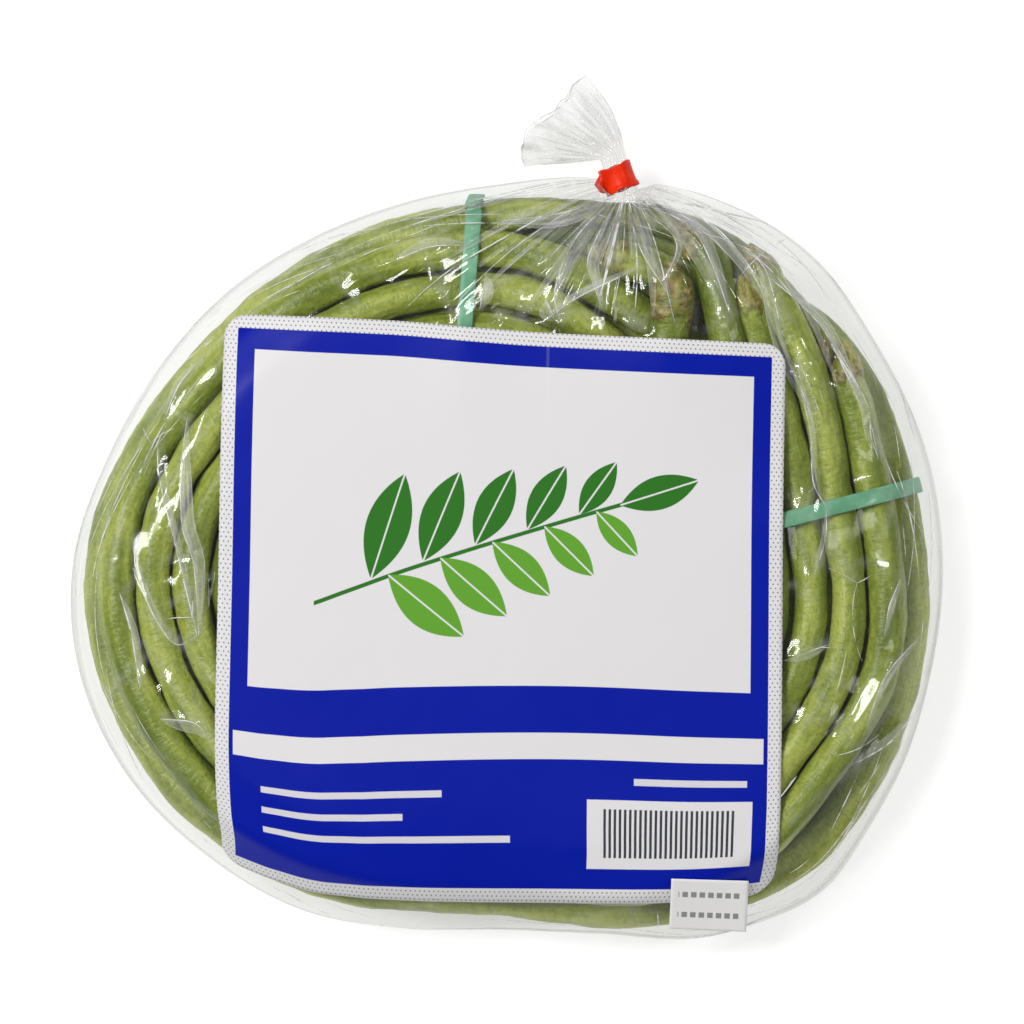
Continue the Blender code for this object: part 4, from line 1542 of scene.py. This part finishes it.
            open_share = float(smooth(np.array(share), 0.0, 0.35))
            level = dome * (3.7 * (1 - open_share) + 1.1 * open_share) * MM
            wrinkle = 0.25 * MM * np.sin(31 * across + 9 * share) * open_share
            rings.append(np.column_stack([plan, self.equator + level + fold * share**0.8 + wrinkle
                                          + gathers * (1 - open_share) * dome]))
            prints.append(np.column_stack([across, np.full(len(across), -0.35 * share), upper]))
        neck = np.array([(29.2, 97.0, 0.93, 0.37, 3.7, 3.7), (30.1, 94.0, 0.95, 0.31, 3.7, 3.7),
                         (31.3, 90.0, 0.95, 0.31, 3.7, 3.7), (32.3, 86.6, 0.97, 0.25, 4.5, 4.9)])
        steps = np.linspace(0, 3, 20)
        for x, y, side_x, side_y, wide, thick in np.column_stack(
                [np.interp(steps, range(4), column) for column in neck.T]):
            reach = across * wide * MM
            plan = np.array([x, y]) * MM + reach[:, None] * np.array([side_x, side_y])
            level = dome * thick * MM + gathers * np.abs(dome)
            rings.append(np.column_stack([plan, self.equator + level]))
            prints.append(np.column_stack([across, np.zeros(len(across)), upper]))
        return np.array(rings), np.array(prints)

    def lines(self) -> tuple[np.ndarray, np.ndarray]:
        """Spaces a ring's points over the upper film and the lower one.

        Returns:
            Places from the right edge, -1, to the left edge, 1, above and below.
        """
        line, low_line = np.linspace(-1, 1, self.across), np.linspace(-1, 1, self.under)
        return (0.72 * line + 0.28 * np.sin(line * math.pi / 2),
                0.6 * low_line + 0.4 * np.sin(low_line * math.pi / 2))

    def build(self, label: PrintedLabel) -> None:
        """Builds and dresses the bag.

        Args:
            label: The label that lies on it.
        """
        inside = label.holds(GROUND.plan)
        self.free_of_label = 1 - GROUND.blur(inside.astype(float), 1.6 * MM)
        body, body_marks = self.body_points()
        neck, neck_marks = self.neck_points()
        self.tail, self.tail_across = neck[: self.tail_rings], neck_marks[0, :, 0]
        rows, columns = len(neck) + len(body), body.shape[1]
        far = -self.clock_way(self.neck_clock)
        end = far * self.reach_to(far) + self.centre
        points = np.vstack([neck.reshape(-1, 3), body.reshape(-1, 3), [[*end, self.equator]]])
        marks = np.vstack([neck_marks.reshape(-1, 3), body_marks.reshape(-1, 3), [[0, 20, 0]]])
        last = (rows - 1) * columns
        faces = lattice(rows, columns, closed=True)
        faces += [(last + k, len(points) - 1, last + (k + 1) % columns) for k in range(columns)]
        piece = self.piece = mesh_object("bag_film", points, faces)
        on_top = (marks[:, 2] > 0.5) & (marks[:, 1] >= 0)
        store(piece, "crease", GROUND.sample(self.crease, points[:, :2]) * on_top)
        plan = points[:, :2] - self.centre
        rim = smooth(self.outline(plan) - np.linalg.norm(plan, axis=-1), 7.5 * MM, 0.5 * MM) * 0.5
        gathered = np.exp(-((np.maximum(marks[:, 1], 0) * 100 * MM / (15 * MM)) ** 1.5))
        store(piece, "cloudy", np.clip(np.maximum(rim, gathered) * np.where(on_top, 1, 0.6), 0, 1))
        store(piece, "pleat", marks)
        face_outwards(piece)
        settle_piece(piece, "bag", self.finish.make())


@dataclass
class FilmCreases:
    """Sharp folds pinched up from the bag's film, as pale threads painted as glints, and flat pleats of it,
    that lie on it.
    """

    bag: FilmBag
    finish: CreaseGlintFinish = field(default_factory=CreaseGlintFinish)
    pleat_finish: PleatFinish = field(default_factory=PleatFinish)
    neck_lines: int = 16
    rim_lines: int = 80
    crow_feet: int = 24
    neck_pleats: int = 24
    cells: int = 6
    above: float = 0.08
    lifts: tuple = (0.07 * MM, 0.02 * MM)
    points: list = field(default_factory=list)
    girths: list = field(default_factory=list)
    steps: list = field(default_factory=list)
    sheets: list = field(default_factory=list)
    marks: list = field(default_factory=list)
    faces: list = field(default_factory=list)
    tree: BVHTree = field(init=False, default=None)

    def film_height(self, x: float, y: float) -> float | None:
        """Gives the film's height at a plan place, or None past its edge."""
        spot = self.tree.ray_cast(Vector((x, y, self.above)), Vector((0, 0, -1)))[0]
        return None if spot is None else spot.z

    def add(self, line: np.ndarray, girth: float, tapered: bool = True) -> None:
        """Adds one crease.

        Args:
            line: Points along it.
            girth: Its half width in the middle, in metres.
            tapered: Whether it thins out towards its ends.
        """
        if len(line) < 3:
            return
        share = np.linspace(0, 1, len(line))
        base = sum(len(part) for part in self.points)
        shape = arch(np.clip(share, 0.03, 0.97), 0.6) if tapered else np.ones(len(line))
        self.points.append(line)
        self.girths.append(girth * shape)
        self.steps += [(base + k, base + k + 1) for k in range(len(line) - 1)]

    def lay(self, plan: np.ndarray, girth: float) -> None:
        """Lays a crease on the film, in as many parts as the label leaves of it.

        Args:
            plan: Plan places along it.
            girth: Its half width in the middle.
        """
        part = []
        for (x, y), is_free in zip(plan, self.bag.label_share(plan) > 0.97):
            height = self.film_height(x, y) if is_free else None
            if height is not None and (not part or abs(height - part[-1][2]) < 1.5 * MM):
                part.append([x, y, height + 0.03 * MM])
            else:
                self.add(np.array(part), girth)
                part = []
        self.add(np.array(part), girth)

    def sweep_tree(self) -> bpy.types.NodeTree:
        """Builds the tree that sweeps the creases.

        Returns:
            The geometry tree.
        """
        w, start, end = new_tree("crease_sweep", [("Sides", "NodeSocketInt"), ("Skin", "NodeSocketMaterial")])
        line, sides, skin = start.outputs[:3]
        line = w.value("GeometryNodeMeshToCurve", {"Mesh": line})
        ring = w.value("GeometryNodeCurvePrimitiveCircle", {"Resolution": sides, "Radius": 1.0})
        return w.close(w.sweep(line, ring), skin, end)

    def build(self) -> None:
        """Builds and dresses the creases and the pleats."""
        mesh = self.bag.piece.data
        self.tree = BVHTree.FromPolygons([v.co for v in mesh.vertices], [p.vertices for p in mesh.polygons])
        self.lay_creases()
        points = np.vstack(self.points)
        piece = mesh_object("bag_film_creases", points, [], self.steps)
        store(piece, "girth", np.concatenate(self.girths))
        run_tree(piece, self.sweep_tree(), {"Sides": 4, "Skin": self.finish.make()})
        face_outwards(piece)
        settle_piece(piece, "bag")
        self.build_pleats()

    def lay_creases(self) -> None:
        """Lays the photo's folds, lines from the neck and along the rim, crow's feet and the tail's folds."""
        bag, draw = self.bag, np.random.default_rng(77)
        for fold in bag.folds:
            self.lay(through(seen(*fold), 0.7 * MM), draw.uniform(0.16, 0.28) * MM)
        for _ in range(self.neck_lines):
            line = draw.uniform(-0.97, 0.97)
            near = np.arange(draw.uniform(1, 7), draw.uniform(16, 78), 0.7) * MM
            wave = line + 0.012 * np.sin(near / (9 * MM) + draw.uniform(0, 6))
            self.lay(bag.pleat_plan(wave, near), draw.uniform(0.10, 0.30) * MM)
        for _ in range(self.rim_lines):
            clock = draw.uniform(0, 360)
            turn = np.radians(np.arange(0, draw.uniform(5, 24), 0.35))
            inwards = draw.uniform(0.5, 12) * MM + draw.uniform(-0.16, 0.22) * 100 * MM * turn
            way = bag.clock_way(clock + np.degrees(turn))
            out = bag.outline(way * 0.1) - np.maximum(inwards, 0.3 * MM)
            self.lay(way * out[:, None] + bag.centre, draw.uniform(0.07, 0.17) * MM)
        for _ in range(self.crow_feet):
            clock, share = draw.uniform(0, 360), draw.uniform(0.5, 0.93)
            way = bag.clock_way(clock)
            spot = way * share * bag.reach_to(way) + bag.centre
            turn = math.radians(clock) + draw.choice([0.0, 0.5, 1.3, 1.7]) + draw.normal(0, 0.3)
            for branch in range(draw.integers(1, 4)):
                bend = turn + branch * draw.uniform(0.5, 2.2)
                run = np.arange(0, draw.uniform(5, 26) / (1 + branch), 0.7) * MM
                sway = bend + run / (40 * MM) * draw.normal(0, 0.8)
                plan = spot + np.column_stack([np.sin(sway), np.cos(sway)]) * run[:, None]
                self.lay(plan, draw.uniform(0.08, 0.22) * MM)
        tail = bag.tail
        for place in np.linspace(-1, 1, len(bag.tail_folds)):
            column = int(np.argmin(np.abs(bag.tail_across[: bag.across] - place)))
            last = draw.integers(2, 16)
            self.add(tail[last:-2:2, column] + [0, 0, 0.05 * MM], draw.uniform(0.10, 0.20) * MM)
        self.add(np.vstack([tail[0, ::3], tail[0, :1]]), 0.15 * MM, tapered=False)

    def panel(self, one: np.ndarray, other: np.ndarray, cover: float) -> None:
        """Lays a flat pleat of doubled film between two lines.

        Args:
            one: Plan places along its first edge.
            other: Those along its second edge, as many.
            cover: How much it whitens what lies below.
        """
        rows, across = len(one), np.linspace(0, 1, self.cells)
        plan = one[:, None] * (1 - across[:, None]) + other[:, None] * across[:, None]
        heights = [self.film_height(x, y) for x, y in plan.reshape(-1, 2)]
        if None in heights:
            return
        self.faces += thin_sheet(rows, self.cells, sum(len(part) for part in self.sheets))
        fade = cover * arch(np.clip(np.linspace(0.12, 1.0, rows), 0, 0.985), 0.5)
        along, fade = (np.repeat(values, self.cells) for values in (run_along(one) * 100, fade))
        for lift in self.lifts:
            self.sheets.append(np.column_stack([plan.reshape(-1, 2), np.array(heights) + lift]))
            self.marks.append(np.column_stack([np.tile(across, rows), along, fade]))

    def build_pleats(self) -> None:
        """Builds and dresses the flat pleats."""
        bag, draw = self.bag, np.random.default_rng(55)
        share = np.linspace(0, 1, 60)
        for _ in range(self.neck_pleats):
            line, wide = draw.uniform(-0.93, 0.93), draw.uniform(0.015, 0.06)
            near = (draw.uniform(6.8, 9) + draw.uniform(8, 26 + 40 * abs(line)) * share) * MM
            drift = draw.normal(0, 0.03) * share
            spread = wide * (1 - share**2.2) ** 0.8
            self.panel(bag.pleat_plan(line + drift - spread, near),
                       bag.pleat_plan(line + drift + spread * 0.6, near),
                       draw.uniform(0.10, 0.30) * (0.5 + 0.5 * abs(line)))
        for fold in bag.folds:
            line = through(seen(*fold), 0.8 * MM)
            ahead = np.gradient(line, axis=0)
            ahead /= np.linalg.norm(ahead, axis=1)[:, None]
            wide = draw.uniform(1.2, 4.0) * MM * draw.choice([-1, 1])
            spread = wide * arch(np.linspace(0, 1, len(line)), 0.8)
            away = np.column_stack([-ahead[:, 1], ahead[:, 0]]) * spread[:, None]
            self.panel(line, line + away, draw.uniform(0.08, 0.26))
        piece = mesh_object("bag_film_pleats", np.vstack(self.sheets), self.faces)
        store(piece, "fold", np.vstack(self.marks))
        face_outwards(piece)
        settle_piece(piece, "bag", self.pleat_finish.make())


@dataclass
class NeckTape:
    """Red tape wound round the gathered neck, its ends pressed together into a flap."""

    foot: tuple = (32.2, 87.4)
    head: tuple = (29.5, 94.0)
    level: float = 17 * MM
    radius: float = 4.5 * MM
    span: float = 7.0 * MM
    flap: float = 2.8 * MM
    rows: int = 16
    columns: int = 120
    across: int = 14
    along: int = 12
    finish: TapeFinish = field(default_factory=TapeFinish)

    def build(self) -> None:
        """Builds and dresses the tape."""
        foot, head = (MM * np.array(place) for place in (self.foot, self.head))
        middle, axis = (foot + head) / 2, (head - foot) / np.linalg.norm(head - foot)
        side = np.array([axis[1], -axis[0]])
        turn = np.linspace(0, 2 * math.pi, self.columns, endpoint=False)
        outer, inner = [], []
        for share in np.linspace(-0.5, 0.5, self.rows):
            flare = 0.20 * (2 * share) ** 2 + 0.10 * np.cos(5 * turn + 2 * share)
            flare = flare + (0.28 if share < -0.3 else 0)
            tilt = 0.5 * share * 2 * np.cos(turn)
            for ring, offset in ((outer, 0.0), (inner, -0.75)):
                reach = self.radius + (flare + offset) * MM
                edge = 0.35 * np.sin(3 * turn) * MM * (2 * share) ** 3
                plan = middle + (np.cos(turn) * reach + tilt * 0.2 * MM)[:, None] * side
                plan = plan + axis * (share * self.span + edge)[:, None]
                ring.append(np.column_stack([plan, self.level + np.sin(turn) * reach]))
        points = np.vstack([*outer, *inner[::-1]])
        faces = lattice(2 * self.rows, self.columns, closed=True, looped=True)
        faces += thin_sheet(self.across, self.along, len(points), mirrored=True)
        sheet = []
        for face in (1, -1):
            for a in np.linspace(0, 1, self.across):
                for b in np.linspace(-0.5, 0.5, self.along):
                    drop = 0.9 * a * a + 0.35 * math.sin(5 * b + 3 * a)
                    trim = 1 - 0.62 * a
                    plan = middle - side * (self.radius - 0.7 * MM + a * self.flap * (1 + 0.25 * b))
                    plan = plan + axis * (b * self.span * trim - 0.5 * MM * a)
                    edge = 1 - max(0.0, 2 * abs(b) - 0.86) * 6
                    sheet.append([*plan, self.level + (drop + face * 0.42 * max(edge, 0.12)) * MM])
        piece = mesh_object("neck_tape_wrap", np.vstack([points, sheet]), faces)
        face_outwards(piece)
        settle_piece(piece, "neck_tape", self.finish.make())


@dataclass
class PrintedLabel:
    """Big square label stuck on the film, with rounded corners and bowed edges."""

    corners: tuple = ((-79.4, -98.4), (73.0, -109.3), (77.1, 44.2), (-74.4, 51.7))
    # How far each edge bows, in millimetres, by the share of the way along it.
    foot_bow: tuple = ((0, 0), (0.05, 2.8), (0.1, 5.2), (0.19, 7.9), (0.35, 7.9), (0.6, 5.7), (0.81, 3.4),
                       (0.95, 0.2), (1, -1.5))
    left_bow: tuple = ((0, 0), (0.06, 0.3), (0.13, 1.7), (0.22, 2.7), (0.32, 3.2), (0.56, 3.5), (0.75, 3.9),
                       (0.92, 4.0), (1, 3.9))
    right_bow: tuple = ((0, 0), (0.09, 1.8), (0.26, 1.8), (0.47, 1.2), (0.72, 0.4), (1, 0))
    head_bow: tuple = ((0, 1.2), (0.12, 1.3), (0.3, 1.4), (0.45, 0.5), (0.6, 0), (1, 0))
    slide: tuple = (7.8, -28.0, 22.0)
    radius: float = 0.040
    thickness: float = 0.25 * MM
    cells: int = 128
    finish: LabelPrint = field(default_factory=LabelPrint)
    height_grid: np.ndarray = field(init=False, default=None)

    def place(self, u: np.ndarray, v: np.ndarray) -> np.ndarray:
        """Gives plan places of places on the label.

        Args:
            u: Shares across it.
            v: Shares up it.

        Returns:
            Plan places in metres.
        """
        bows = ((u, self.foot_bow), (u, self.head_bow), (v, self.left_bow), (v, self.right_bow))
        foot, head, left, right = (
            MM * np.interp(place, *through(np.array(bow, float), 0.1).T)[..., None] for place, bow in bows)
        flat = on_quad(self.corners, u, v)
        u, v = u[..., None], v[..., None]
        # With 6.75 in front, v (1 - v)^2 peaks at 1, a third of the way up.
        slid = MM * (self.slide[0] + self.slide[1] * u + self.slide[2] * u * u) * 6.75 * v * (1 - v) ** 2
        return flat + np.concatenate([right * u - left * (1 - u), head * v - foot * (1 - v) - slid], -1)

    def holds(self, plan: np.ndarray) -> np.ndarray:
        """Says which plan places are under the label.

        Args:
            plan: Plan places in metres.

        Returns:
            Whether each place is under it.
        """
        line = np.linspace(0, 1, 40)
        ends = np.concatenate([self.place(line, line * 0), self.place(line * 0 + 1, line),
                               self.place(line[::-1], line * 0 + 1), self.place(line * 0, line[::-1])])
        inside = np.zeros(plan.shape[:-1], bool)
        x, y = plan[..., 0], plan[..., 1]
        for (ax, ay), (bx, by) in zip(ends, np.roll(ends, -1, 0)):
            if ay != by:
                inside ^= ((ay > y) != (by > y)) & (x < (bx - ax) * (y - ay) / (by - ay) + ax)
        return inside

    def lie_on(self, film: np.ndarray) -> None:
        """Gives the label a smooth height over the film that it is stuck to.

        Args:
            film: The film's height grid.
        """
        smooth_film = GROUND.blur(film, 9 * MM)
        under = GROUND.blur(self.holds(GROUND.plan).astype(float), 1.6 * MM) > 0.02
        lowest = np.where(under, film + 0.3 * MM, 0)
        lift = GROUND.blur(np.maximum(np.where(under, film - smooth_film, 0), 0), 7 * MM)
        top = np.maximum(smooth_film + 1.6 * lift, film + 0.25 * MM)
        for _ in range(5):
            top = np.maximum(GROUND.blur(top, 3.0 * MM), lowest)
        self.height_grid = np.maximum(GROUND.blur(top, 1.6 * MM) + 0.15 * MM, lowest)

    def rounded(self, u: np.ndarray, v: np.ndarray) -> tuple[np.ndarray, np.ndarray]:
        """Rounds the corners of a unit square's grid.

        Args:
            u: Shares across.
            v: Shares up.

        Returns:
            The moved shares.
        """
        r = self.radius
        p = np.clip(np.maximum(u - (1 - r), r - u) / r, 0, 1)
        q = np.clip(np.maximum(v - (1 - r), r - v) / r, 0, 1)
        new_p, new_q = p * np.sqrt(1 - q * q / 2), q * np.sqrt(1 - p * p / 2)
        moved_u = u + (new_p - p) * r * np.sign(u - 0.5)
        return moved_u, v + (new_q - q) * r * np.sign(v - 0.5)

    def build(self) -> None:
        """Builds and dresses the label."""
        line = np.linspace(0, 1, self.cells)
        v, u = np.meshgrid(line, line, indexing="ij")
        u, v = self.rounded(u, v)
        plan = self.place(u, v).reshape(-1, 2)
        height = GROUND.sample(self.height_grid, plan)
        piece = paper_piece("printed_label", plan, height, u, v, self.thickness)
        settle_piece(piece, "label", self.finish.make())


@dataclass
class DateSticker:
    """Small sticker across the label's lower edge."""

    corners: tuple = ((44.9, -118.0), (66.4, -119.0), (66.9, -104.6), (45.4, -103.8))
    thickness: float = 0.2 * MM
    cells: int = 24
    finish: StickerPrint = field(default_factory=StickerPrint)

    def build(self, bag: FilmBag, label: PrintedLabel) -> None:
        """Builds and dresses the sticker.

        Args:
            bag: The film that it is stuck to.
            label: The label that it overlaps.
        """
        line = np.linspace(0, 1, self.cells)
        v, u = np.meshgrid(line, line, indexing="ij")
        plan = on_quad(self.corners, u, v).reshape(-1, 2)
        below = np.maximum(GROUND.sample(bag.upper, plan),
                           np.where(label.holds(plan), GROUND.sample(label.height_grid, plan), 0))
        p, q = u.reshape(-1) - 0.5, v.reshape(-1) - 0.5
        terms = np.stack([np.ones_like(p), p, q, p * q, q * q, q**3], 1)
        fit = terms @ np.linalg.lstsq(terms, below, rcond=None)[0]
        height = fit + max(0.0, float(np.percentile(below - fit, 97))) + 0.35 * MM
        height = np.maximum(height, below + 0.3 * MM)
        piece = paper_piece("date_sticker_print", plan, height, u, v, self.thickness)
        settle_piece(piece, "date_sticker", self.finish.make())


@dataclass(frozen=True)
class SoftLight:
    """One soft studio light: where it hangs, its size and its strength."""

    name: str
    place: tuple[float, float, float]
    size: tuple[float, float]
    watts: float


@dataclass
class Studio:
    """Pale floor, soft light and the camera straight above."""

    lights: tuple = (
        SoftLight("key_left", (-0.64, 0.30, 1.26), (0.48, 0.40), 13.5),
        SoftLight("fill_right", (0.85, -0.20, 1.0), (0.30, 0.40), 1.6),
        SoftLight("glint_left", (-0.75, 0.05, 0.95), (0.03, 0.34), 1.3),
        SoftLight("glint_far", (0.20, 0.85, 1.00), (0.34, 0.03), 0.6),
        SoftLight("glint_right", (0.75, 0.40, 0.95), (0.03, 0.30), 1.2),
    )
    world: float = 0.27
    floor_glow: float = 0.70
    distance: float = 4.0
    lens: float = 505.8
    # The floor glows as white as the photograph's, but not under the pack, where it takes the shadow.
    floor_greys: tuple = ((0.42, 0.42, 0.42, 1), (0.44, 0.44, 0.44, 1))
    glow_centre: tuple = (-0.002, -0.016, 0.0)
    glow_edge: tuple = (0.082, 0.106)
    aim: tuple = (1.25 * MM, -2.2 * MM, 0.02)

    def build(self) -> None:
        """Builds floor, lights, world and camera."""
        floor = mesh_object("studio_floor", [[-3, -3, 0], [3, -3, 0], [3, 3, 0], [-3, 3, 0]], [(0, 1, 2, 3)])
        material, w, shader = new_material("studio_white")
        ends = {0: w.place(), 1: self.glow_centre}
        away = w.value("ShaderNodeVectorMath", ends, "Value", operation="DISTANCE")
        w.fill(shader, {"Base Color": w.mix(w.noise(w.place(), 2.0, 2.0), *self.floor_greys),
                        "Roughness": 0.8, "Emission Color": WHITE,
                        "Emission Strength": away.ramp(*self.glow_edge) * self.floor_glow})
        floor.data.materials.append(material)
        target = Vector((0, 0, 0.02))
        for light in self.lights:
            data = bpy.data.lights.new(light.name, "AREA")
            data.shape, data.size, data.size_y = "RECTANGLE", *light.size
            data.energy = light.watts
            lamp = bpy.data.objects.new(light.name, data)
            lamp.location = light.place
            lamp.rotation_euler = (target - lamp.location).to_track_quat("-Z", "Y").to_euler()
            bpy.context.scene.collection.objects.link(lamp)
        world = bpy.data.worlds.new("studio")
        world.use_nodes = True
        inputs = world.node_tree.nodes["Background"].inputs
        inputs[0].default_value, inputs[1].default_value = WHITE, self.world
        bpy.context.scene.world = world
        data = bpy.data.cameras.new("camera")
        data.sensor_width, data.lens = 36, self.lens
        camera = bpy.data.objects.new("camera", data)
        camera.location = (*self.aim[:2], self.aim[2] + self.distance)
        bpy.context.scene.collection.objects.link(camera)
        bpy.context.scene.camera = camera
        bpy.context.scene.view_settings.view_transform = "Standard"


def main() -> None:
    """Builds and dresses every piece of the pack, then the studio round it."""
    logging.basicConfig(level=logging.INFO, format="%(message)s")
    pods = PodCoil()
    pods.build()
    bands = [RubberBand(place) for place in Band]
    for band in bands:
        band.build()
    label, bag = PrintedLabel(), FilmBag()
    bag.drape(pods, bands, label)
    bag.build(label)
    label.build()
    FilmCreases(bag).build()
    DateSticker().build(bag, label)
    NeckTape().build()
    Studio().build()


if __name__ == "__main__":
    main()
